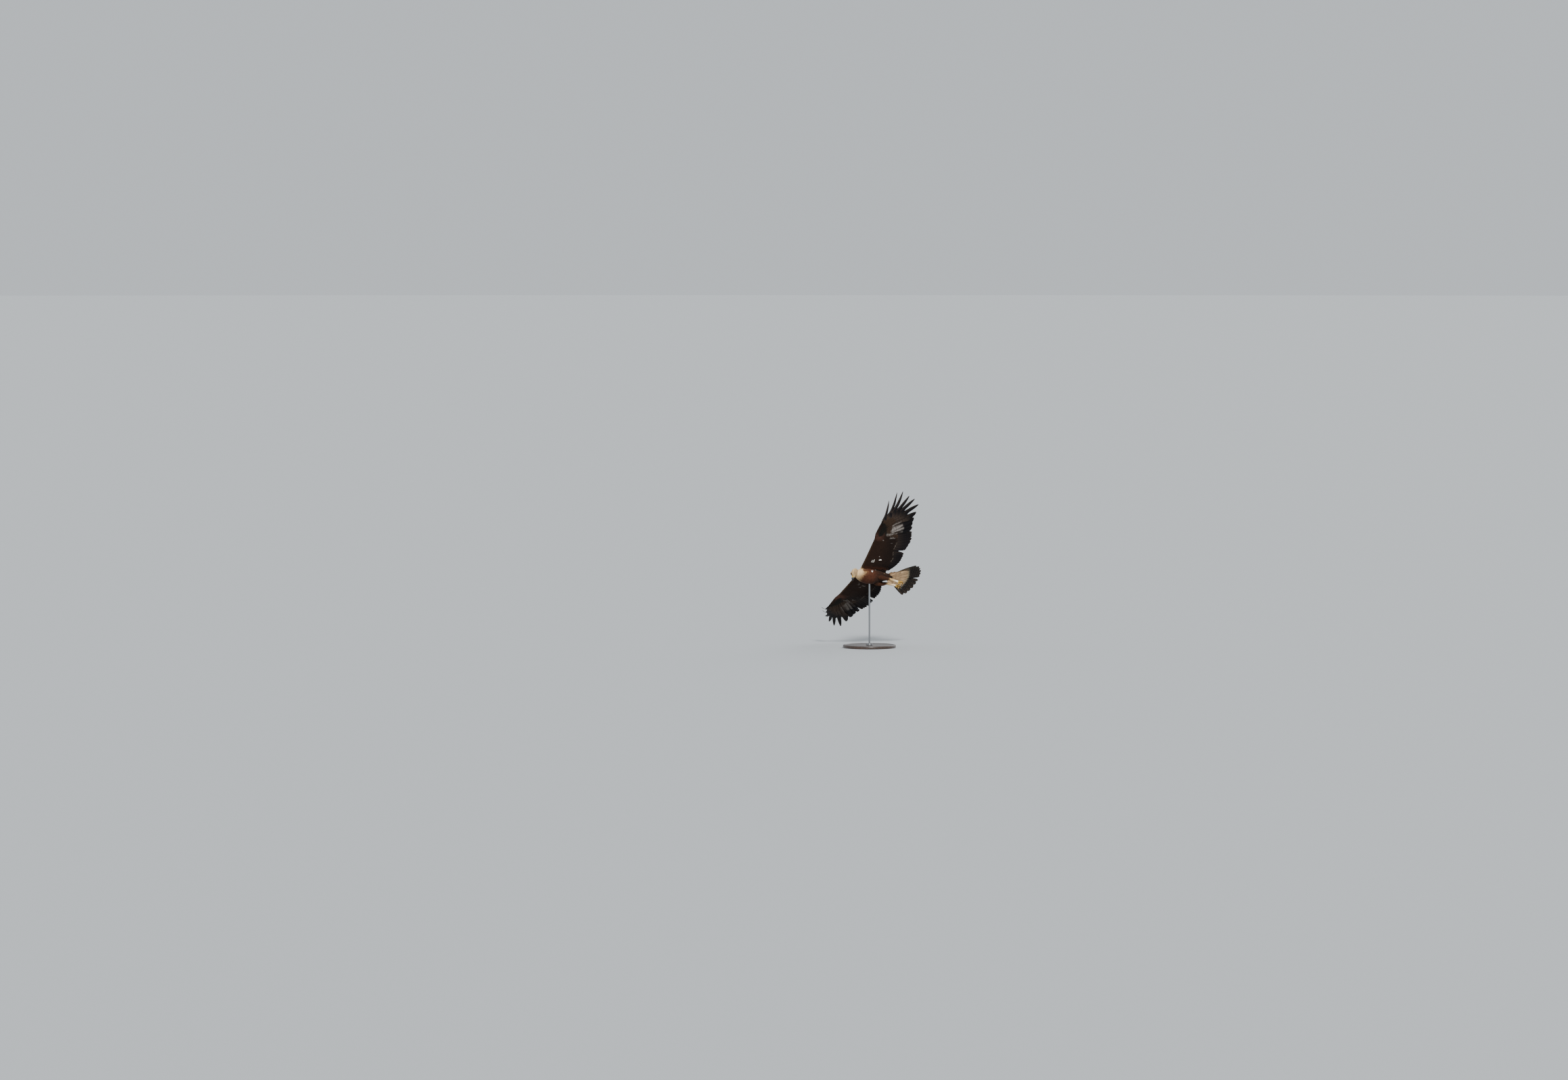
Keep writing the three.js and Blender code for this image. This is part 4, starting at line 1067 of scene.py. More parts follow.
# The rest from the outermost in: length and splay.
SECONDARIES = [
    (374, 24.2), (375, 23.4), (375, 22.8), (373, 21), (354, 19.7), (331, 17.9), (308, 16.2), (230, 14.5),
    (275, 10.8), (268, 9), (262, 7),
]
SECONDARY_ROOTS = ((28, 455), (-72, 262))
GROWING = 7
GROWING_WIDE = 24
TERTIALS = [(256, 5.8), (250, 5.4), (243, 4.7), (236, 4), (228, 3), (220, 1.5)]
TERTIAL_ROOTS = ((-78, 240), (-70, 104))
# Steps along a vane: how far along it, and its shares of the outer and inner widths.
PLAIN_STEPS = [
    (0, 0.2, 0.08), (0.12, 0.62, 0.5), (0.24, 1, 0.9), (0.52, 1, 1), (0.84, 0.95, 0.97), (0.93, 0.74, 0.8),
    (1, 0.26, 0.3),
]
COVERT_STEPS = [(0, 0.3, 0.2), (0.3, 0.75, 0.7), (0.62, 1, 1), (0.85, 0.96, 0.96), (1, 0.75, 0.75)]
BLACKISH = colour("161315")
FINGER = colour("131113")
QUILL_BROWN = colour("231b15")
PALE_GREY = colour("8c847d")
UNDER_GREY = colour("54463d")
# A vane's columns run from its outer edge to its inner, and this one is the shaft.
MIDDLE = 4
FLAT_TILT = 5.5
# Places where a vane has come apart, and how far along it each reaches.
SPLITS = 2
SPLIT_REACH = 0.006


def finger_steps(notch, outer, inner):
    rest = 1 - notch
    return [
        (0, 0.2, 0.08), (0.17, 0.5, 0.28), (notch * 0.5, 0.7, 0.42), (notch * 0.75, 0.9, 0.68),
        (notch * 0.97, 1, 1), (notch + rest * 0.2, outer * 1.05, inner * 1.05),
        (notch + rest * 0.5, outer * 0.9, inner * 0.86), (notch + rest * 0.78, outer * 0.62, inner * 0.56),
        (notch + rest * 0.92, outer * 0.38, inner * 0.33), (1, outer * 0.1, inner * 0.1),
    ]


def stiff_vane(f, height, rng, rows):
    """Grid, normals and other arrays of one stiff vane laid over a height."""
    even = 1 - (1 - np.linspace(0, 1, rows)) ** 1.3
    torn = rng.uniform(0.35, 0.93, SPLITS)
    t = np.sort(np.concatenate([even, torn - SPLIT_REACH, torn, torn + SPLIT_REACH]))
    length, sweep, notch = f["length"], f.get("sweep", 0), f.get("notch", 1)
    outer, inner = read_at(np.array(f["steps"]), t)
    tip = 1 - 0.55 * (f["outer"] * outer[-1] + f["inner"] * inner[-1]) / length
    rounding = np.sqrt(np.clip(1 - (np.clip(t - tip, 0, 1) / (1 - tip)) ** 2, 0.02, 1))
    outer, inner = outer * f["outer"] * rounding, inner * f["inner"] * rounding
    for k, at in enumerate(torn):
        depth = rng.uniform(0.05, 0.4) * np.exp(-(((t - at) / 0.004) ** 2))
        if k % 2:
            outer = outer * (1 - 0.7 * depth)
        else:
            inner = inner * (1 - depth)
    quill = np.minimum(1.7 * (1 - 0.75 * t), 0.12 * outer + 0.2)
    zero = np.zeros_like(t)
    w = [outer, outer * 0.62, outer * 0.3, quill, zero, -quill, -inner * 0.3, -inner * 0.65, -inner]
    w = np.stack(w, -1)
    splay = math.radians(f["splay"])
    run = np.array([-math.cos(splay), math.sin(splay)])
    aside = np.array([math.sin(splay), math.cos(splay)])
    bow = (4 * sweep * t * (1 - t))[:, None]
    lean = (4 * sweep * (1 - 2 * t) / length)[:, None]
    forward = (length * t)[:, None] - w * lean
    plan = np.array(f["root"]) + forward[..., None] * run + (bow + w)[..., None] * aside
    bent = np.maximum(0, (t - notch) / (1 - notch)) if notch < 1 else zero
    over = f["over"](t) if callable(f.get("over")) else zero + f.get("over", 0)
    crown = 0.035 * np.abs(w) ** 2 / np.maximum(inner, 4)[:, None]
    slope = math.tan(math.radians(f.get("tilt", FLAT_TILT)))
    z = height(plan[..., 0], plan[..., 1]) + w * slope + (over + f.get("rise", 0) * bent**2)[:, None] - crown
    grid = np.concatenate([plan, z[..., None]], -1)
    span = grid[:, 0] - grid[:, -1]
    normal = unit(np.cross(span, np.gradient(grid[:, MIDDLE], axis=0)))
    normal *= np.where(normal[:, 2:] < 0, -1, 1)
    thin = np.linspace(1, 0.5, len(t))
    shaft = np.linspace(1.5, 0.35, len(t)) * f.get("stout", 1)
    half = [zero, 0.2 * thin, 0.28 * thin, 0.55 * shaft, shaft, 0.55 * shaft, 0.28 * thin, 0.2 * thin, zero]
    half = np.stack(half, -1)
    half[[0, -1]] = 0
    return grid, normal[:, None], half, w, forward, t


def vane_batch(feathers, height, side, paint, rng, rows=34, twist=Matrix.Identity(4)):
    """A batch of stiff vanes of one side. Paint gives the colours of both faces."""
    made = []
    for f in feathers:
        grid, normal, half, across, along, t = stiff_vane(f, height, rng, rows)
        upper, under, mark = paint(f, grid, across, t)
        tone = 1 + 0.07 * rng.uniform(-1, 1)
        normal = normal * (1, side, 1) @ np.array(twist)[:3, :3].T
        vane = (moved(grid * (1, side, 1), twist), normal, half, across, along)
        made.append((*vane, mark, upper * tone, under * tone))
    *vanes, marks, upper, under = (np.array(values) for values in zip(*made))
    coat_roots.append(vanes[0][:, vanes[0].shape[1] // 3, MIDDLE])
    coat_colours.append(under[:, 8, MIDDLE])
    return feather_batch(*vanes, (upper, under), on_strips(len(feathers)), marks)


# The pale patch under the hand is a fan of streaks: both ends in plan, and half widths.
PATCH_STREAKS = [
    ((-82, 642), (-142, 706), 18), ((-94, 620), (-168, 664), 26), ((-108, 592), (-196, 632), 28),
    ((-104, 560), (-208, 596), 22), ((-44, 506), (-160, 546), 15), ((-112, 482), (-166, 486), 11),
]


def pale_patch(points):
    """How much of the pale patch a place under the wing has."""
    plan = np.stack([points[..., 0], np.abs(points[..., 1])], -1)
    return np.max([near_line(plan, a, b, radius, 0.45) for a, b, radius in PATCH_STREAKS], axis=0)


# How pale each primary is in the patch, from the innermost out.
PATCH_SHARES = [0.8, 1.0, 1.0, 1.0, 0.9, 0.3, 0.1, 0.0, 0.0, 0.0]


def primary_paint(f, grid, across, t):
    t = t[:, None]
    inner_web = smooth(-across / f["inner"], 0.05, 0.4)
    pale = PATCH_SHARES[round((len(PATCH_SHARES) - 1) * f["share"])] * f["pale"] * pale_patch(grid)
    finger = smooth(t, f["notch"] * 0.75, f["notch"] * 1.08) if f["notch"] < 1 else smooth(t, 0.45, 0.75)
    near_root = inner_web * (1 - smooth(t, 0.2, 0.6))
    under = mix(mix(UNDER_GREY * 0.5, UNDER_GREY * 0.7, near_root), FINGER, finger)
    narrowing = 0.32 * smooth(t, 0.32, 0.6)
    pale_web = smooth(-across / f["inner"], 0.05 + narrowing, 0.4 + narrowing)
    under = mix(under, PALE_GREY, pale * (0.12 + 0.88 * pale_web))
    near_root = 0.5 * inner_web * (1 - smooth(t, 0.12, 0.34))
    upper = mix(mix(QUILL_BROWN, PALE_GREY, near_root), FINGER, finger)
    return upper, under, 0.35 * (1 - finger) + 0 * across


def secondary_paint(f, grid, across, t):
    t = t[:, None] + 0 * across
    under = mix(UNDER_GREY * 0.3, BLACKISH, smooth(t, 0.45, 0.85))
    web = smooth(-across / f["inner"], 0.0, 0.5)
    under = mix(under, PALE_GREY, 0.6 * f["pale"] * pale_patch(grid) * web)
    upper = mix(QUILL_BROWN, BLACKISH, smooth(t, 0.6, 0.95))
    fringe = 0.5 * smooth(t, 0.965, 1.0)
    return mix(upper, MANTLE_EDGE, fringe), mix(under, UNDER_GREY, fringe), 0.3 + 0 * across


def feather_row(sizes, roots, rng, shared):
    made = []
    for k, size in enumerate(sizes):
        t = k / (len(sizes) - 1)
        f = {"sweep": 4, "outer": 14, "inner": 37, "steps": PLAIN_STEPS, "share": t, **shared}
        f["length"] = size[0] * (1 + 0.01 * rng.uniform(-1, 1))
        f["splay"] = size[1] + 0.4 * rng.uniform(-1, 1)
        f["root"] = [roots[0][i] + (roots[1][i] - roots[0][i]) * t for i in (0, 1)]
        if len(size) > 2:
            f.update(zip(("outer", "inner", "notch"), size[2:5]))
            f.update(rise=size[7], tilt=size[8], sweep=6 + k)
            if f["notch"] < 1:
                f["steps"] = finger_steps(*size[4:7])
        made.append(f)
    return made


SIDES = (("left", 1, 11), ("right", -1, 29))
wing_rows = {}
for word, side, seed in SIDES:
    rng = np.random.default_rng(seed)
    # Painted shade: under the right wing, which is shaded, the pale patch is painted at a little under half
    # its strength.
    shared = {"pale": 1.0 if side > 0 else 0.45}
    primaries, secondaries, tertials = (
        feather_row(sizes, roots, rng, shared)
        for sizes, roots in (
            (PRIMARIES, PRIMARY_ROOTS), (SECONDARIES, SECONDARY_ROOTS), (TERTIALS, TERTIAL_ROOTS),
        )
    )
    secondaries[GROWING]["inner"] = GROWING_WIDE
    wing_rows[word] = (primaries, secondaries, tertials)
    outer_arm = [vane_batch(primaries, wing_height, side, primary_paint, rng, 44)]
    hand_node, arm_nodes = f"wing_{word}_hand", (f"wing_{word}_forearm", f"wing_{word}_upper_arm")
    plumage_piece(f"primaries_{word}", outer_arm, flight_vane, "flight_feathers", hand_node)
    inner_arm = [vane_batch(secondaries + tertials, wing_height, side, secondary_paint, rng)]
    plumage_piece(f"secondaries_{word}", inner_arm, flight_vane, "flight_feathers", *arm_nodes)

# Greater coverts and alula
# One long covert lies over the base of each flight feather and one under it. Three
# stiff feathers grow from the thumb at the front of the wrist.
# For each row: widths of the outer and inner web, how far along the feather it ends, how
# high it lies over it, and how much less that is at the end of the row.
GREATER = {
    "primary": (8, 16, 0.42, 6.4, 2.6),
    "secondary": (12, 26, 0.6, 4.8, 0),
    "tertial": (12, 26, 0.66, 4.8, 0),
}
COVERT_START = 0.1
# Each feather of the thumb: root, length, splay and height over the wing.
ALULA = [((50, 500), 92, 76, 8), ((56, 506), 112, 80, 6), ((62, 512), 118, 84, 4)]
COVERT_BROWN = colour("2b2018")
COVERT_EDGE = colour("4c3a29")
UNDER_COVERT = colour("1f1612")
HAND_COVERT = colour("37291f")
COVERT_TIP = colour("766b62")
OLIVE_BLACK = colour("171511")


def greater_covert(f, size, face, rng):
    outer, inner, reach, over, lower = size
    splay = math.radians(f["splay"])
    start = f["length"] * COVERT_START
    over = over - lower * f["share"]
    return {
        "root": [f["root"][0] - math.cos(splay) * start, f["root"][1] + math.sin(splay) * start],
        "splay": f["splay"], "tilt": f.get("tilt", FLAT_TILT), "pale": f["pale"],
        "length": f["length"] * (reach - COVERT_START) * (1 + 0.03 * rng.uniform(-1, 1)), "outer": outer,
        "inner": inner, "over": lambda t: face * over * smooth(t, -0.3, 0.7), "steps": COVERT_STEPS,
        "stout": 0.55,
    }


def greater_paint(f, grid, across, t):
    t = t[:, None]
    out = np.abs(grid[..., 1])
    fringe = np.clip(smooth(t, 0.8, 1) + 0.6 * (np.abs(across) / f["inner"]) ** 3, 0, 1)
    upper = mix(mix(COVERT_BROWN, QUILL_BROWN, 0.5), COVERT_EDGE, 0.75 * fringe)
    base = mix(UNDER_COVERT * 0.8, HAND_COVERT, smooth(out, 470, 520))
    tip = smooth(t, 0.9, 0.96) * (1 - smooth(out, 400, 470)) * smooth(-across / f["inner"], -0.5, 0.3)
    under = mix(base, COVERT_TIP, 0.5 * tip)
    web = 0.4 + 0.6 * smooth(-across / f["inner"], 0, 0.5)
    under = mix(under, PALE_GREY, 0.7 * f["pale"] * pale_patch(grid) * web)
    return upper, under, 0.15 + 0 * across


def alula_paint(f, grid, across, t):
    plain = np.ones((*across.shape, 3))
    return QUILL_BROWN * plain, BLACKISH * 1.3 * plain, 0 * across


for word, side, seed in SIDES:
    rng = np.random.default_rng(seed + 100)
    rows = zip(wing_rows[word], ("primary", "secondary", "tertial"))
    pairs = [(f, GREATER[kind]) for feathers, kind in rows for f in feathers]
    for name, face in (("above", 1), ("below", -1)):
        coverts = [greater_covert(f, size, face, rng) for f, size in pairs]
        batches = [vane_batch(coverts, wing_height, side, greater_paint, rng, 18)]
        plumage_piece(f"greater_coverts_{name}_{word}", batches, flight_vane, "brown_plumage")
    shared = {"outer": 7, "inner": 15, "steps": COVERT_STEPS}
    alula = [dict(zip(("root", "length", "splay", "over"), values), **shared) for values in ALULA]
    batches = [vane_batch(alula, wing_height, side, alula_paint, rng, 18)]
    plumage_piece(f"alula_{word}", batches, flight_vane, "flight_feathers")

# Lesser coverts
# Short round feathers cover the flesh of the wing in rows, small at the front edge and
# longer behind. Above they are brown with a tawny band, below warm brown with pale
# tips, and nearly black round the wrist.
COVERT_ROWS = 15
COVERT_APART = 11.5
TAWNY = colour("6e5234")
WARM_BROWN = colour("261912")
REDDISH = colour("412a22")
# How far the coverts splay, in degrees, by distance from the midline.
SPLAYS = [
    (0, 1), (104, 2), (240, 6), (262, 8), (380, 18), (455, 24), (490, 33), (530, 48), (570, 60), (620, 74),
    (690, 84),
]
EDGE_APART = 7.0
# Rows round the front edge, from its upper side to its lower.
EDGE_ROWS = (0.95, 0.6, 0.25, -0.1, -0.45, -0.8, -1.0)
# Single white feathers below the root of the wing.
WING_SPOTS = [(-76, 198, 12, 1), (-52, 236, 8, 0.6), (-28, 429, 7, 0.3), (-120, 415, 8, 0.25)]
SHOULDER_STREAK = ((-4, 160), (-14, 194))
# The dark patch at the wrist: both ends of each part in plan, and its radius.
WRIST_PATCH = [((63, 665), (-10, 600), 46), ((-10, 600), (-50, 515), 48), ((20, 560), (30, 500), 40)]


def upper_wing_colours(y, c):
    base = mix(MANTLE, COVERT_BROWN, smooth(c, 0.0, 0.6))
    tawny = smooth(c, 0.45, 0.75) * (1 - smooth(y, 430, 560)) * smooth(y, 100, 230)
    base = mix(base, TAWNY, 0.42 * tawny)
    edge = mix(base, TAWNY, 0.35 + 0.4 * tawny)
    gilt = (1 - smooth(c, 0.0, 0.1)) * (1 - smooth(y, 300, 480))
    return mix(base, TAWNY, 0.35 * gilt), edge


def under_wing_colours(x, y, c, side):
    plan = np.stack([x, y], -1)
    base = mix(WARM_BROWN, UNDER_COVERT * 0.85, smooth(c, 0.3, 0.9))
    red = smooth(y, 400, 450) * (1 - smooth(y, 480, 530)) * smooth(x, -40, 30)
    base = mix(base, REDDISH * 1.2, red)
    wrist = np.max([near_line(plan, a, b, radius) for a, b, radius in WRIST_PATCH], axis=0)
    base = mix(base, OLIVE_BLACK, wrist)
    gaps = [(np.hypot(x - sx, y - sy), radius, share) for sx, sy, radius, share in WING_SPOTS]
    white = [share * (1 - smooth(gap, radius * 0.6, radius * 1.1)) for gap, radius, share in gaps]
    white.append(0.5 * near_line(plan, *SHOULDER_STREAK, 8))
    # Painted shade: under the shaded right wing the white feathers are painted at a fifth of their whiteness.
    white = np.max(white, axis=0) * (1 if side > 0 else 0.2)
    patch = 0.6 * pale_patch(plan)
    return [mix(mix(tone, PALE_GREY, patch), WHITE, white) for tone in (base, base * 1.25)]


def laid_field(x, y, splay, lengths, widths, surface, face, side, colours, rng, lift):
    """Feathers laid on a smooth surface, from their places and lies in plan."""
    shares, profile = np.array(ROUND_TIP[0]), np.array(ROUND_TIP[1])
    u = np.linspace(-1, 1, 5)
    run = np.stack([-np.cos(splay), np.sin(splay)], -1)[:, None, None]
    aside = np.stack([np.sin(splay), np.cos(splay)], -1)[:, None, None]
    across = blurred(u[None, None] * (profile[None] * widths[:, None] / 2)[..., None], rng, 0.1)
    along = (shares[None] * lengths[:, None])[..., None] * np.ones_like(across)
    plan = np.stack([x, y], -1)[:, None, None] + along[..., None] * run + across[..., None] * aside
    over = -2.0 + np.reshape(lift, (-1, 1, 1)) * shares[None, :, None]
    over = over + 0.4 * rng.uniform(-1, 1, (len(y), 1, 1))
    over = over + 0.04 * across - 0.05 * across**2 / np.maximum(widths, 1)[:, None, None]
    z = surface(plan[..., 0], plan[..., 1]) + face * over
    grid = np.concatenate([plan, z[..., None]], -1) * (1, side, 1)
    tangent = np.gradient(grid[:, :, 2], axis=1)
    normal = unit(np.cross(tangent, grid[:, :, -1] - grid[:, :, 0]))
    normal *= np.where(normal[..., 2:] < 0, -1, 1)
    half = half_thickness(0.6, u, shares, across)
    at = np.stack([x, side * y, surface(x, y)], -1)
    return small_feathers(grid, normal[:, :, None], half, across, along, at, colours, 0.12, 0.8, shares, rng)


def covert_field(side, face, rng):
    """Rows of coverts over one face of a wing's flesh."""
    roots = []
    for k in range(COVERT_ROWS):
        c = (k + 0.2) / COVERT_ROWS
        stations = np.arange(40 + COVERT_APART * 0.5 * (k % 2), 676, COVERT_APART)
        stations = stations + 0.25 * COVERT_APART * rng.uniform(-1, 1, len(stations))
        shift = 0.4 / COVERT_ROWS * rng.uniform(-1, 1, len(stations))
        roots.append(np.stack([stations, np.clip(c + shift, 0.005, 1), np.full(len(stations), c)], -1))
    y, c, row = np.concatenate(roots).T
    front, back, _ = read_at(FLESH, y)
    x = front - (front - back) * c
    spacing = (front - back) / COVERT_ROWS
    lengths = blurred(np.clip(spacing * 2.3 + 14 * row, 15, 62), rng, 0.1)
    widths = blurred(np.clip(lengths * 0.5, 9, 23), rng, 0.08)
    splay = np.radians(np.interp(y, *np.transpose(SPLAYS)) + 4 * rng.uniform(-1, 1, len(y)))
    colours = upper_wing_colours(y, c) if face > 0 else under_wing_colours(x, y, c, side)

    def surface(px, py):
        return wing_height(px, py) + face * wing_half(px, py)

    lift = 3.2 + 2.6 * smooth(row, 0.6, 0.95)
    return laid_field(x, y, splay, lengths, widths, surface, face, side, colours, rng, lift)


def edge_coverts(side, rng):
    """The smallest coverts, which wrap round the front edge of a wing."""
    roots, lies = [], []
    for row, share in enumerate(EDGE_ROWS):
        y = np.arange(50 + EDGE_APART / 2 * (row % 2), 676, EDGE_APART)
        y = y + 1.6 * rng.uniform(-1, 1, len(y))
        front = read_at(FLESH, y)[0]
        x = front + 6 * (1 - share * share) - 4
        z = wing_height(front, y) + share * 0.7 * wing_half(front - 6, y)
        roots.append(np.stack([x, side * y, z], -1))
        splay = np.radians(np.interp(y, *np.transpose(SPLAYS)) * 0.5 + 42)
        lies.append(np.stack([-np.cos(splay), side * np.sin(splay), 0 * y + 0.25 * np.sign(share)], -1))
    roots, lies = np.concatenate(roots), np.concatenate(lies)
    roots, lies = only(on_skin(roots, 6), roots, lies)
    x, y = roots[:, 0], np.abs(roots[:, 1])
    lengths = blurred(np.interp(y, [60, 100, 450, 670], [30, 22, 17, 13]), rng, 0.12)
    above, below = upper_wing_colours(y, 0 * y), under_wing_colours(x, y, 0 * y, side)
    upward = smooth(roots[:, 2] - wing_height(x, y), -4, 3)
    base, edge = (mix(b, a, upward) for a, b in zip(above, below))
    return coat_batch(roots, lies, lengths, lengths * 0.55, base, edge, rng, lift=2.2, sink=0.8)


for word, side, seed in SIDES:
    rng = np.random.default_rng(seed + 200)
    for name, face in (("above", 1), ("below", -1)):
        batches = [covert_field(side, face, rng)]
        plumage_piece(f"lesser_coverts_{name}_{word}", batches, body_vane, "brown_plumage")
    plumage_piece(f"edge_coverts_{word}", [edge_coverts(side, rng)], body_vane, "brown_plumage")

# Scapulars
# Long feathers from the shoulder close the gap between the back and the wing above,
# and softer ones fill the pit of the wing below.
RINGS = np.array(TORSO)[::-1]


def shoulder_top(x, y):
    """The higher of the back and the wing."""
    z, wide, up, _ = read_at(RINGS, np.clip(x, -425, 96))
    back = z + (up - COAT) * np.sqrt(np.clip(1 - (y / wide) ** 2, 0, 1))
    wing = wing_height(x, y) + wing_half(x, y)
    return 0.5 * (back + wing + np.sqrt((back - wing) ** 2 + 60))


def wing_pit(x, y):
    return wing_height(x, y) - wing_half(x, y)


for word, side, seed in SIDES:
    rng = np.random.default_rng(seed + 400)
    for name, surface, face, first, last, step in (
        ("scapulars", shoulder_top, 1, 44, 116, 9.0), ("axillars", wing_pit, -1, 84, 118, 8.5),
    ):
        x, y = np.meshgrid(np.arange(34, -172, -17.0), np.arange(first, last, step))
        x, y = x.ravel() + 5 * rng.uniform(-1, 1, x.size), y.ravel() + 3 * rng.uniform(-1, 1, y.size)
        lengths = blurred(np.interp(x, [-170, -60, 40], [82, 62, 36]), rng, 0.1)
        splay = np.radians(np.interp(y, [40, 110], [-3, 5]) + 3 * rng.uniform(-1, 1, len(x)))
        if face > 0:
            base = mix(MANTLE, COVERT_BROWN, rng.uniform(0, 1, len(x)))
            colours = (base, mix(base, MANTLE_EDGE, 0.7))
        else:
            base = mix(RUFOUS * 0.8, WARM_BROWN, smooth(y, 85, 115))
            colours = (base, base * 1.2)
        batches = [laid_field(x, y, splay, lengths, lengths * 0.36, surface, face, side, colours, rng, 5.5)]
        plumage_piece(f"{name}_{word}", batches, body_vane, "brown_plumage")

# Tail
# Twelve feathers make the fan, the middle pair on top. They are white at the base with
# a broad dark band at the end, and the outermost are dark along their outer edge.
# Cream coverts lie over and under their bases.
TAIL_CUT = -318
TAIL_ROOT_Z = -12
TAIL_RISE = 0.13
TAIL_ARCH = 0.00102
TAIL_TWIST = 10
RECTRIX_LENGTHS = [368, 366, 356, 340, 316, 284]
FAN_STEPS = [
    (0, 0.15, 0.07), (0.14, 0.3, 0.2), (0.26, 0.68, 0.56), (0.38, 1, 0.9), (0.88, 0.97, 0.97),
    (0.95, 0.78, 0.82), (1, 0.32, 0.36),
]
BAND_FROM = -554
COVERTS_WIDE = 7
# Coverts over and under the fan: length, level, drop from one to the next, tilt, rust.
TAIL_COVERTS = [(130, 6, 0.8, FLAT_TILT, 0.12), (222, -11, 0.7, 3, 0.08)]
TAIL_WHITE = colour("b9a888")
TAIL_BAND = colour("1f1b19")
TAIL_CREAM = colour("dab68a")


def tail_height(x, y):
    return TAIL_ROOT_Z + TAIL_RISE * (TAIL_CUT - x) - TAIL_ARCH * y * y


tail_twist = (
    Matrix.Translation((0, 0, TAIL_ROOT_Z))
    @ Matrix.Rotation(math.radians(TAIL_TWIST), 4, "X")
    @ Matrix.Translation((0, 0, -TAIL_ROOT_Z))
)


def rectrix_paint(f, grid, across, t):
    reach = np.hypot(grid[..., 0] - TAIL_CUT, grid[..., 1]) + 5 * np.sin(across * 0.23 + f["root"][1])
    band = smooth(reach, f["band"] - 12, f["band"] + 12)
    edge_dark = f["dark_edge"] * smooth(across / f["outer"], -0.1, 0.5) * smooth(t[:, None], 0.1, 0.3)
    dark = np.maximum(np.maximum(band, edge_dark), f["dark_web"] * smooth(t[:, None], 0.2, 0.5))
    tip = smooth(t[:, None], 0.97, 1.0) * np.ones_like(across)
    warm = mix(TAIL_CREAM, TAIL_WHITE, smooth(reach, 170, 245))
    base = mix(warm, UNDER_GREY, 0.25 * smooth(np.abs(across) / f["inner"], 0.5, 1))
    under = mix(mix(base, TAIL_BAND, dark), UNDER_GREY, 0.35 * tip)
    upper = mix(mix(base * 0.96, TAIL_BAND * 0.9, dark), UNDER_GREY, 0.35 * tip)
    return upper, under, 0.3 * band + 0.25 * (1 - band) * smooth(reach, 150, 240)


def tail_covert_paint(f, grid, across, t):
    rust = 0.35 * smooth(np.abs(across) / f["inner"], 0.5, 1) + 0.25 * smooth(t[:, None], 0.7, 1)
    tint = mix(TAIL_CREAM, RUFOUS * 1.4, np.clip(rust + f["rust"], 0, 1)) * f["tone"]
    return tint, tint, 0 * across


def covert_over(level, drop, k, layer, side):
    """How high a tail covert lies over the fan, from its share along itself."""
    height = level * (1 + 0.3 * layer) - drop * k + (side if k == 0 else 0)
    return lambda t: height * smooth(t, -0.4, 0.4)


tail_vane = feather_material("stiff tail vane", 1.4, "5a4b3c", 2.2, 0.6, 0.02, "453a30")
tail_batches, tail_covert_batches = [], []
rng = np.random.default_rng(5)
for side in (1, -1):
    feathers = [
        {
            "root": [TAIL_CUT - 12, 4 + 5.2 * k], "splay": 3.5 + 6.4 * k + 0.4 * rng.uniform(-1, 1),
            "length": length * (1 + 0.012 * rng.uniform(-1, 1)), "outer": 12 if k == 5 else 17,
            "inner": 22 if k == 0 else 36, "tilt": 0 if k == 0 else FLAT_TILT,
            "over": 0.6 + side if k == 0 else -0.6 - 1.1 * k, "steps": FAN_STEPS,
            "band": TAIL_CUT - BAND_FROM + 8 - 4.5 * k,
            "dark_edge": 1.0 if k == 5 else 0.5 if k == 4 else 0.12,
            "dark_web": (0, 0, 0, 0, 0.4, 0.95)[k] if side < 0 else 0.85 * (k == 5),
        }
        for k, length in enumerate(RECTRIX_LENGTHS)
    ]
    tail_batches.append(vane_batch(feathers, tail_height, side, rectrix_paint, rng, 36, tail_twist))
    coverts = [
        {
            "root": [TAIL_CUT + 2 + 12 * layer, 26 * t + 2 * layer],
            "splay": 30 * t + 2.5 * rng.uniform(-1, 1),
            "length": length * share * (1 - 0.22 * t * t) * (1 + 0.05 * rng.uniform(-1, 1)),
            "outer": 15, "inner": 15, "tilt": 0 if k == 0 else tilt,
            "over": covert_over(level, drop, k, layer, side), "steps": COVERT_STEPS, "stout": 0.5,
            "rust": 0.18 * rng.uniform(0, 1) + rust * layer, "tone": rng.uniform(0.72, 1.2),
        }
        for k, t in enumerate((np.arange(COVERTS_WIDE) + 0.5) / COVERTS_WIDE)
        for length, level, drop, tilt, rust in TAIL_COVERTS
        for layer, share in enumerate((1.0, 0.74, 0.5))
    ]
    tail_covert_batches.append(vane_batch(coverts, tail_height, side, tail_covert_paint, rng, 16, tail_twist))
plumage_piece("tail_fan", tail_batches, tail_vane, "flight_feathers", "tail")
plumage_piece("tail_coverts", tail_covert_batches, gold_vane, "golden_plumage")

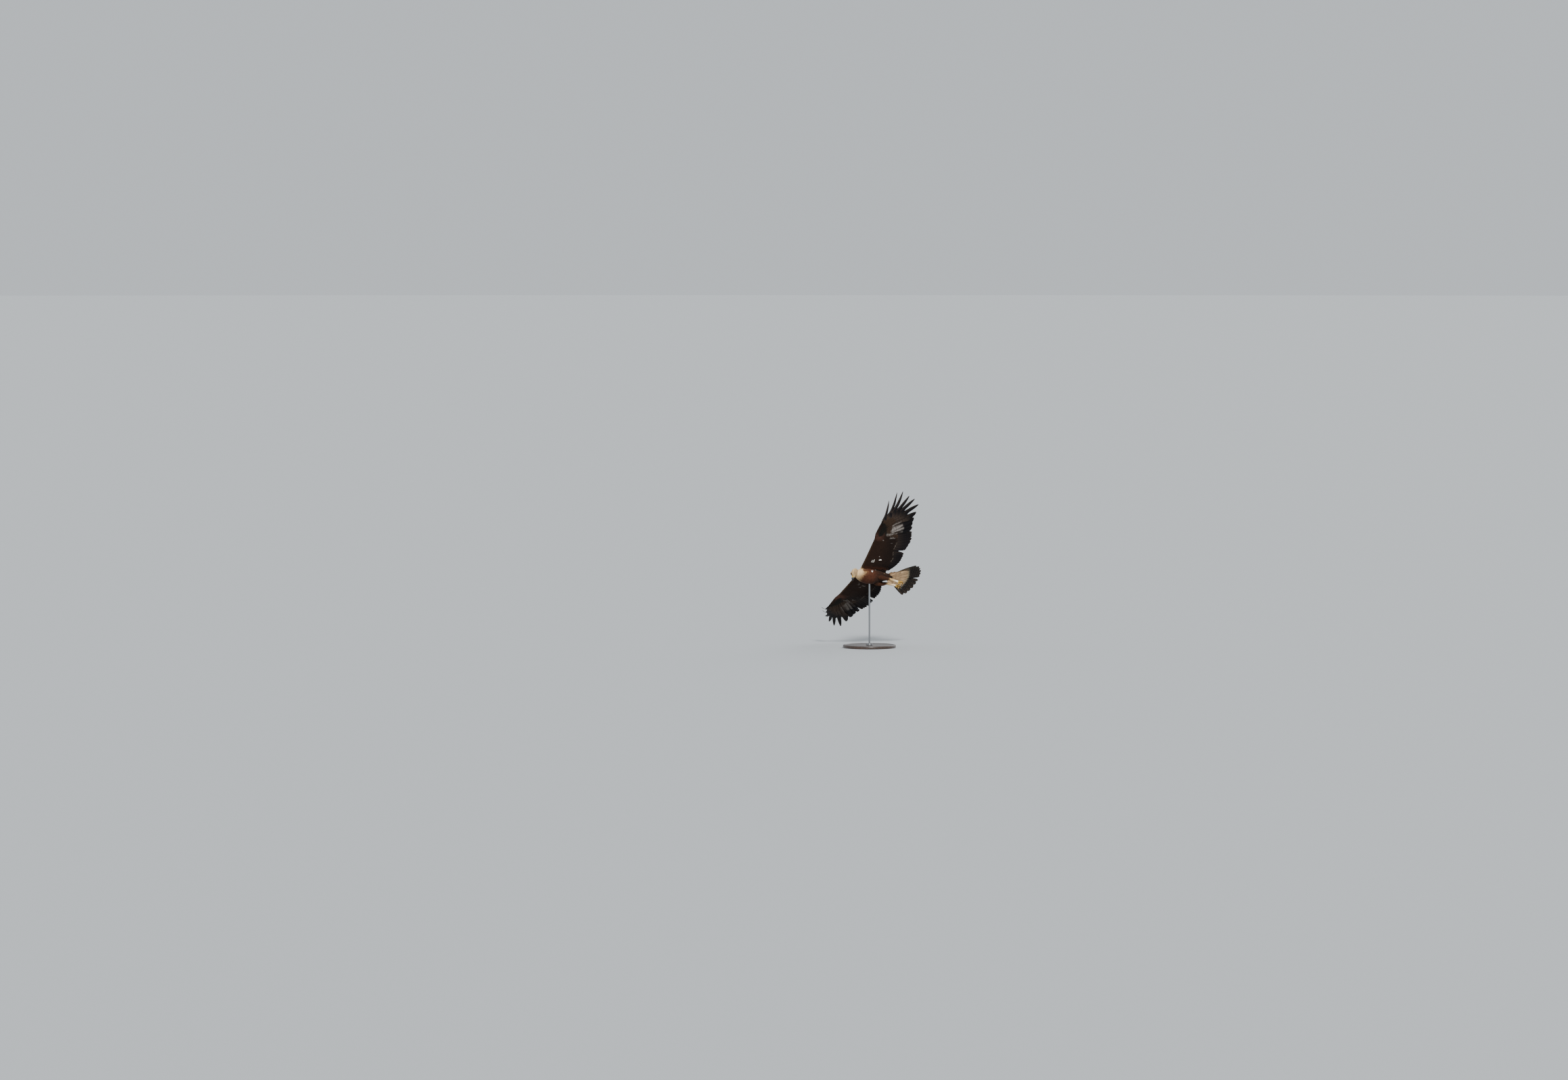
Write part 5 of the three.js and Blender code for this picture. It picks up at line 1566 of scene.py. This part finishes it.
# Legs
# Long loose feathers hang from the thighs, and short pale down covers the shanks to
# the toes.
THIGH_BROWN = colour("3a2317")
THIGH_PALE = colour("bd9c6c")
SHANK_PALE = colour("efe0c2")
THIGH_APART = (9, 9.5)
SHANK_APART = (4.6, 5.0)
for word, side, seed in SIDES:
    rng = np.random.default_rng(seed + 300)
    roots, lies, shares = rows_over(limb_frames(THIGH, COAT, side), *THIGH_APART, rng)
    base = mix(THIGH_BROWN, THIGH_PALE, smooth(shares, 0.62, 0.92))
    lengths = blurred(np.interp(shares, [0, 0.6, 1], [36, 44, 26]), rng, 0.12)
    batches = [coat_batch(roots, lies, lengths, lengths * 0.42, base, base * 1.2, rng, lift=3.6)]
    plumage_piece(f"trousers_{word}", batches, body_vane, "brown_plumage", f"thigh_{word}")
    frames = limb_frames(SHANK, SHANK_COAT, side)
    roots, lies, shares = rows_over(frames, *SHANK_APART, rng, slack=3, sides=32)
    base = mix(THIGH_PALE * 1.1, SHANK_PALE, smooth(shares, 0.1, 0.8))
    lengths = blurred(np.interp(shares, [0, 0.8, 1], [17, 14, 9]), rng, 0.12)
    how = {"lift": 2.6, "shape": SMALL_TIP}
    batches = [coat_batch(roots, lies, lengths, lengths * 0.45, base, base * 1.15, rng, **how)]
    plumage_piece(f"shank_down_{word}", batches, down_vane, "leg_down", f"tarsus_{word}")

# Head feathers
# The feathers of the face are the smallest. They lie back from the bill round the eye,
# and grow into the long pointed hackles of the nape. The crown and nape are pale gold
# and the throat is brown.
EYE_AT = (15, 24, 6)
CROWN = colour("bf9560")
CROWN_EDGE = colour("ead2a4")
CHEEK_BUFF = colour("cbab7e")
LORE = colour("a39378")
THROAT = colour("6b452b")
BILL_ROOT = 35
MOUTH_Z = -9.4
MOUTH_BARE = 1.9
# The bare oval round the eye: how far it sits before the eye, its length and height.
EYE_OVAL = (3.8, 8.0, 7.4)


def head_colours(local):
    """Colours over the head, from places in its own frame."""
    x, y, z = local.T
    base = mix(CHEEK_BUFF, CROWN, smooth(z, 2, 16))
    base = mix(base, THROAT, smooth(-z, 10, 22) * smooth(-x, -36, -8))
    base = mix(base, LORE, smooth(x, 20, 30) * (1 - smooth(np.abs(z), 4, 14)))
    streak = 0.5 + 0.5 * np.sin(0.9 * x + 3 * np.sin(0.31 * y) + 2 * np.sin(0.43 * z))
    base = mix(base, THROAT * 1.2, 0.22 * streak * smooth(-x, -20, 10))
    return base, mix(base, CROWN_EDGE, 0.75)


head_frame_back = np.array(head.inverted())
rng = np.random.default_rng(7)
ball = [upright(share, 0, *[math.sqrt(1 - share * share)] * 3) for share in np.linspace(0.97, -0.97, 9)]
mounds = [([frame @ ring for ring in ball], 2.9, 1.6, 0.85) for frame in (*brow_frames, chin_frame)]
head_batches = []
for frames, apart, slack, upto in [(head_frames, 3.5, 9, 1), *mounds]:
    roots, lies, shares = rows_over(frames, apart, apart, rng, 0.35, slack)
    x, y, z = moved(roots, head_frame_back).T
    ahead, long, high = EYE_OVAL
    eye = ((x - EYE_AT[0] - ahead) / long) ** 2 + ((z - EYE_AT[2]) / high) ** 2 < 1
    bill = (x > BILL_ROOT) & (z > -17) & (np.abs(y) < 14)
    mouth = (x > 11) & (np.abs(z - MOUTH_Z) < MOUTH_BARE) & (np.abs(y) > 9)
    kept = (shares <= upto) & ~(eye & (np.abs(y) > 16)) & ~bill & ~mouth
    roots, lies, x, y, z = only(kept, roots, lies, x, y, z)
    lengths = blurred(np.interp(-x, [-38, -22, 0, 20, 45], [8, 10, 16, 25, 33]), rng, 0.14)
    near_eye = (np.hypot(x - EYE_AT[0], z - EYE_AT[2]) < 17) & (np.abs(y) > 14)
    lengths = np.where(near_eye, np.minimum(lengths, 8), lengths)
    widths = np.interp(lengths, [6, 16, 33], [2.8, 4.4, 7.4])
    base, edge = head_colours(np.stack([x, y, z], -1))
    how = {"shape": POINTED_TIP, "lift": 1.1, "sink": 0.4, "thick": 0.35, "fringe": 0.7}
    head_batches.append(coat_batch(roots, lies, lengths, widths, base, edge, rng, **how))
plumage_piece("head_feathers", head_batches, gold_vane, "golden_plumage", "head")

# Eyes
# Each eye is a brown glass ball with a black pupil under a clear cornea. A thin bare
# lid closes round it, and the brow overhangs it.
EYE_RADIUS = 11.5
CORNEA_OUT = 1.07
IRIS_ANGLE = math.radians(41)
PUPIL_ANGLE = math.radians(20)
LID_RADIUS = 12.4
LID_THICK = 0.9
LID_ANGLE = math.radians(42)
LID_BACK = -0.2
CREASE_MM = 1.6


def eye_frame(side):
    """The eye looks out sideways and a little forward, with Z out along its axis."""
    looks = Vector((0.34, side, 0.02)).normalized()
    turn = looks.to_track_quat("Z", "Y").to_matrix().to_4x4()
    return bird @ head @ Matrix.Translation((EYE_AT[0], side * EYE_AT[1], EYE_AT[2])) @ turn


def iris_colours(points):
    angle = np.arccos(np.clip(unit(points)[:, 2], -1, 1))
    ring = np.array([colour(tone) for tone in ("040303", "4a2b14", "6a4019", "1d120b", "120d0b")])
    stops = [PUPIL_ANGLE, IRIS_ANGLE * 0.75, IRIS_ANGLE * 0.95, IRIS_ANGLE * 1.12]
    return ring[np.searchsorted(stops, angle)]


def mottled(tree, shader, scale, detail, low, high):
    """Mottles the tint kept in a mesh by a fine noise, and returns the noise."""
    flecks = noise(tree, on_object(tree), scale, detail)
    toned = shaded(tree, between(tree, flecks, 0.0, 1.0, low, high))
    tree.links.new(toned, shader.inputs["Base Color"])
    return flecks


settings = {"Coat Weight": 0.5, "Coat Roughness": 0.02, "Specular IOR Level": 0.0}
glass, tree, shader = new_material("painted glass eye", "3a2412", 0.3, settings)
mottled(tree, shader, 900.0, 2.0, 0.6, 1.4)
# Thin bare skin with fine creases, dull yellow, on the lids, the gape and the base of
# the bill.
bare_skin, tree, shader = new_material("bare waxy skin", "d5a52a", 0.42, {"Subsurface Weight": 0.1})
creases = noise(tree, on_object(tree), 1000 / CREASE_MM, 4.0)
two_tones(tree, shader, creases, (0.3, "b5851c"), (0.7, "e6bc42"))
relief(tree, shader, creases, 0.25, 0.0003)
lid_skin = bare_skin.copy()
lid_skin.name = "dark lid skin"
lid_ramp = next(n for n in lid_skin.node_tree.nodes if n.type == "VALTORGB").color_ramp
for element, tone in zip(lid_ramp.elements, ("2c241b", "57473a")):
    element.color = opaque(tone)
for word, side, _ in SIDES:
    bpy.ops.mesh.primitive_uv_sphere_add(segments=48, ring_count=44, radius=EYE_RADIUS)
    eye = bpy.context.object
    select_faces(eye, lambda face: face.center.normalized().z > math.cos(IRIS_ANGLE))
    rim = (0, 0, EYE_RADIUS * math.cos(IRIS_ANGLE))
    bpy.ops.transform.resize(value=(1, 1, CORNEA_OUT), center_override=rim)
    bpy.ops.object.mode_set(mode="OBJECT")
    faces = eye.data.polygons
    tones = iris_colours(np.array([face.center for face in faces]))
    keep_tint(eye.data, np.repeat(tones, [face.loop_total for face in faces], axis=0), "CORNER")
    bpy.ops.object.shade_smooth()
    eye.matrix_world = eye_frame(side)
    finish_piece(eye, f"glass_eye_{word}", glass, "eye", f"eye_{word}")

    bpy.ops.mesh.primitive_uv_sphere_add(segments=40, ring_count=36, radius=LID_RADIUS)
    lid = bpy.context.object
    select_faces(lid, lambda face: not LID_BACK <= face.center.normalized().z <= math.cos(LID_ANGLE))
    bpy.ops.mesh.delete(type="FACE")
    bpy.ops.object.mode_set(mode="OBJECT")
    modify(lid, "SOLIDIFY", {"thickness": LID_THICK, "offset": -1})
    bevel(lid, 0.3, 2, 50)
    smooth_to(60)
    lid.matrix_world = eye_frame(side)
    finish_piece(lid, f"eyelid_{word}", lid_skin, "yellow_skin")

# Bill
# The upper half is deep and hooked, of dark horn that grows bluish grey at its root.
# It leaves a waxy yellow cere with an oval nostril on each side, and its edge closes
# over the lower half. The yellow gape runs back under the eye.
# Rings of the cere and of the lower half from back to front, set out as the torso's.
CERE = [
    (26, -1, 12.5, 13.5, 8.4), (34, -1, 12.6, 14.2, 8.4), (42, -1, 12.0, 14.2, 8.4),
    (48, -1, 11.3, 13.6, 8.2), (50.6, -1, 10.8, 12.9, 8.0),
]
BILL = {
    "path": [
        (48, 0, 1.2), (55, 0, 1.6), (62, 0, 0.6), (69, 0, -2.2), (75, 0, -6.6), (79.6, 0, -12.2),
        (82.4, 0, -18.4), (83.2, 0, -24.6),
    ],
    "wide": [10.4, 9.9, 9.0, 7.9, 6.4, 4.6, 2.7, 0.5], "deep": [11.0, 10.9, 10.4, 9.6, 8.0, 5.6, 3.3, 0.7],
}
LOWER_BILL = [
    (24, -13.6, 9.6, 3.9, 6.2), (38, -13.7, 8.6, 3.9, 5.7), (50, -13.8, 7.2, 3.6, 4.6),
    (59, -14.0, 5.8, 3.4, 3.6), (66, -14.6, 4.2, 2.6, 2.6), (69.5, -15.2, 2.2, 1.4, 1.5),
]
NOSTRIL_AT = (43, 10.8, 5)
NOSTRIL_RADII = (2.5, 3.4, 1.7)
NOSTRIL_LEAN = Matrix.Rotation(math.radians(-55), 4, "Y")
NOSTRIL_DEEP = 1.6
# The line of the gape: place along the head, and distance from its middle.
GAPE = [(14, 20), (20, 20), (26, 20), (32, 17.2), (38, 14.2), (44, 12.6), (49.5, 11.6)]
GAPE_THICK = 0.9
GROWTH_MM = 2.2


def finer(frames, count):
    """More rings between rings."""
    rings = np.array([np.array(ring) for ring in frames])
    made = through(np.arange(len(rings)), rings, np.linspace(0, len(rings) - 1, count))
    return [Matrix(ring) for ring in made]


def horn_colours(x):
    return mix(colour("55595c"), colour("17171a"), smooth(x, 47, 66))


def lower_bill_colours(x):
    root = mix(colour("d0a23a"), colour("4a4d4e"), smooth(x, 40, 47))
    return mix(root, colour("1b1b1d"), smooth(x, 48, 64))


def black_horn(x):
    return colour("1a191b") + 0 * x[:, None]


horn, tree, shader = new_material("grown horn", "2a2a2d", 0.3, {"Specular IOR Level": 0.55})
growth = mottled(tree, shader, 1000 / GROWTH_MM, 5.0, 0.65, 1.4)
relief(tree, shader, growth, 0.2, 0.0002)


def tomium(x):
    """Height of the cutting edge of the upper bill."""
    return -8.9 - 1.3 * np.exp(-(((x - 60) / 5.5) ** 2)) + 0.4 * smooth(x, 64, 70)


def trimmed(piece, height_of):
    """Gives each point of a piece a new height in the head's frame."""
    points = moved(read_vertices(piece.data), head_frame_back)
    points[:, 2] = height_of(points[:, 0], points[:, 2])
    piece.data.vertices.foreach_set("co", moved(points, head).astype(np.float32).ravel())
    piece.data.update()


def over_edge(upto):
    return lambda x, z: np.where(x < upto, np.maximum(z, tomium(x)), z)


def horn_tint(piece, colour_of):
    """Keeps the colours of horn on a piece, from how far out its points are."""
    x = moved(read_vertices(piece.data), head_frame_back)[:, 0]
    keep_tint(piece.data, colour_of(x), "POINT")


def deep_sided(c, s):
    """A section with full sides below, and flat across its edge."""
    return (math.copysign(abs(c) ** 0.4, c), s) if s < 0 else (c, s)


def flat_topped(c, s):
    return (math.copysign(abs(c) ** 0.4, c), s) if s > 0 else (c, s)


def finish_in_bird(piece, degrees, *how):
    """Finishes a piece that was made in the bird's own frame."""
    chosen(piece)
    smooth_to(degrees)
    piece.matrix_world = bird
    finish_piece(piece, *how)


upper = drawn_out(in_head(finer(limb_frames(BILL, 0), 30)), 40, deep_sided)
trimmed(upper, over_edge(72))
horn_tint(upper, horn_colours)
finish_in_bird(upper, 50, "upper_bill", horn, "horn", "bill_upper")

lower = drawn_out(in_head(finer(rings_frames(LOWER_BILL, 0), 22)), 32, flat_topped)
trimmed(lower, lambda x, z: np.minimum(z, tomium(x) - 0.5))
horn_tint(lower, lower_bill_colours)
finish_in_bird(lower, 50, "lower_bill", horn, "horn", "bill_lower")

cere = drawn_out(in_head(finer(rings_frames(CERE, 0), 14)), 40, deep_sided)
trimmed(cere, over_edge(60))
for word, side, _ in SIDES:
    hole = egg(egg_frame(head, NOSTRIL_AT, NOSTRIL_RADII, side, NOSTRIL_LEAN), 24, 16)
    modify(cere, "BOOLEAN", {"object": hole, "operation": "DIFFERENCE", "solver": "EXACT"})
    bpy.data.objects.remove(hole)
    deeper = (NOSTRIL_AT[0], NOSTRIL_AT[1] - NOSTRIL_DEEP, NOSTRIL_AT[2])
    inside = egg(egg_frame(head, deeper, NOSTRIL_RADII, side, NOSTRIL_LEAN), 20, 12)
    horn_tint(inside, black_horn)
    finish_in_bird(inside, 180, f"nostril_{word}", horn, "horn")
finish_in_bird(cere, 45, "waxy_cere", bare_skin, "yellow_skin", "cere")

lips = []
for side in (1, -1):
    for lip in (1, -1):
        path, wide = [], []
        for k, (x, y) in enumerate(GAPE):
            if x < 30:
                out = head @ Vector((x, side * 45, MOUTH_Z))
                hit = skin_tree.ray_cast(out, (head @ Vector((x, 0, MOUTH_Z)) - out).normalized())[0]
                y = abs((head.inverted() @ hit).y) + 0.2
            apart = lip * GAPE_THICK * min(1, 0.15 + 0.35 * k)
            path.append(head @ Vector((x, side * y, MOUTH_Z + apart)))
            wide.append(GAPE_THICK * (0.6 if k == 0 else 1 if k < 5 else 0.7))
        lips.append(drawn_out(finer(square_to(path, wide, wide), 20), 12))
finish_in_bird(joined(lips), 60, "gape", bare_skin, "yellow_skin")

# Feet
# Each foot has three toes in front and one behind, half closed. They are covered in
# yellow scales, in broad plates along the top, and padded beneath the joints.
FOOT_AT = (-390, 30, -102)
FOOT_RADII = (15, 14, 13)
# Each front toe: its turn in degrees, its length and thickness, and its claw's length.
TOES = {"middle": (0, 58, 7, 34), "inner": (-30, 44, 7, 36), "outer": (30, 46, 6, 28)}
TOE_BEND = [(0, 0), (0.35, 0.02), (0.7, 0.18), (0.86, 0.48)]
HIND = [(-386, 30, -102), (-384, 28, -118), (-388, 26, -132)]
HIND_THICK, HIND_CLAW = 7, 44
CLAW_TURN = math.radians(80)
CLAW_STEPS = 18
SCUTE_MM = 3.4
SCALE_MM = 2.4
scaled_skin, tree, shader = new_material("scaled yellow skin", "c9a03c", 0.45, {"Subsurface Weight": 0.08})
mark = add_node(tree, "Attribute", {"attribute_name": "along"}, {}).outputs["Fac"]
plates = maths(tree, "SINE", maths(tree, "MULTIPLY", mark, 2 * math.pi / SCUTE_MM))
scales = add_node(tree, "TexVoronoi", {}, {"Vector": on_object(tree), "Scale": 1000 / SCALE_MM})
height = maths(tree, "MULTIPLY_ADD", scales.outputs["Distance"], -1.5, plates)
two_tones(tree, shader, height, (0.0, "a37d2c"), (0.5, "cca548"))
relief(tree, shader, height, 0.35, 0.0005)


def toe_path(turn, length):
    out = Vector((-math.cos(math.radians(turn)), math.sin(math.radians(turn)), 0))
    at = Vector(FOOT_AT)
    return [at + out * length * forward - Vector((0, 0, length * down)) for forward, down in TOE_BEND]


def toe_and_claw(path, thick, claw):
    """One toe with its pads, and the claw that grows from its end."""
    stations = np.linspace(0, len(path) - 1, 22)
    points = through(np.arange(len(path)), np.array(path), stations)
    swell = 1 + 0.09 * np.cos(2 * math.pi * (stations - 0.45))
    radius = thick * (1 - 0.07 * stations) * swell
    radius[-1] *= 0.72
    toe = drawn_out(square_to(points, radius * 0.98, radius), 20)
    reach = np.concatenate([[0], np.cumsum(np.linalg.norm(np.diff(points, axis=0), axis=1))])
    along = toe.data.attributes.new(name="along", type="FLOAT", domain="POINT")
    along.data.foreach_set("value", np.repeat(reach, 20).astype(np.float32))
    heading = (path[-1] - path[-2]).normalized()
    curl = Vector((0, 0, -1)).cross(heading).normalized()
    if abs(heading.z) > 0.95:
        curl = Vector((0, -1, 0))
    at = path[-1] - heading * 1.5
    centres, sizes = [], []
    for share in np.linspace(0, 1, CLAW_STEPS + 1):
        centres.append(at.copy())
        sizes.append(thick * 0.7 * (1 - share**1.3) + 0.18)
        at += Matrix.Rotation(CLAW_TURN * share, 3, curl) @ heading * (claw / CLAW_STEPS)
    return toe, drawn_out(square_to(centres, [r * 0.78 for r in sizes], sizes), 16)


for word, side, _ in SIDES:
    digits = [(toe_path(turn, length), thick, claw) for turn, length, thick, claw in TOES.values()]
    digits.append(([Vector(p) for p in HIND], HIND_THICK, HIND_CLAW))
    toes, claws = [], []
    for path, thick, claw in digits:
        toe, talon = toe_and_claw([Vector((p.x, side * p.y, p.z)) for p in path], thick, claw)
        toes.append(toe)
        claws.append(talon)
    toes.append(egg(egg_frame(Matrix.Identity(4), FOOT_AT, FOOT_RADII, side), 32, 20))
    finish_in_bird(joined(toes), 60, f"toes_{word}", scaled_skin, "yellow_skin", f"foot_{word}")
    claw_nodes = [f"claw_{word}_{toe}" for toe in (*TOES, "hind")]
    horn_tint(joined(claws), black_horn)
    finish_in_bird(claws[0], 60, f"talons_{word}", horn, "horn", *claw_nodes)

# Skin finish
# The skin takes the colour of the nearest feather, so that it doesn't show between them, made a fifth darker
# as painted shade in those gaps. It is matt, and mottled as down is.
SKIN_PAINTED_SHADE = 0.8
skin_paint, tree, shader = new_material("down over skin", "5a4030", 0.9, {"Specular IOR Level": 0.1})
mottled(tree, shader, 300.0, 2.0, 0.6, 1.1)
known = np.concatenate(coat_roots)
known_colours = np.concatenate(coat_colours)
nearest = KDTree(len(known))
for k, point in enumerate(known):
    nearest.insert(point, k)
nearest.balance()
tints = np.empty((len(skin_points), 3))
for k, point in enumerate(skin_points):
    found = nearest.find_n(point, 3)
    weights = np.array([1 / (1 + gap) for _, _, gap in found])
    tints[k] = SKIN_PAINTED_SHADE * weights @ known_colours[[i for _, i, _ in found]] / weights.sum()
keep_tint(skin.data, tints, "POINT")
skin.data.transform(bird)
flesh_nodes = [f"wing_{word}_{part}" for word, _, _ in SIDES for part in ("upper_arm", "forearm", "hand")]
flesh_nodes += [f"{part}_{word}" for part in ("thigh", "tarsus") for word, _, _ in SIDES]
finish_piece(skin, "skin", skin_paint, "brown_plumage", "torso", "neck", "head", "tail", *flesh_nodes)
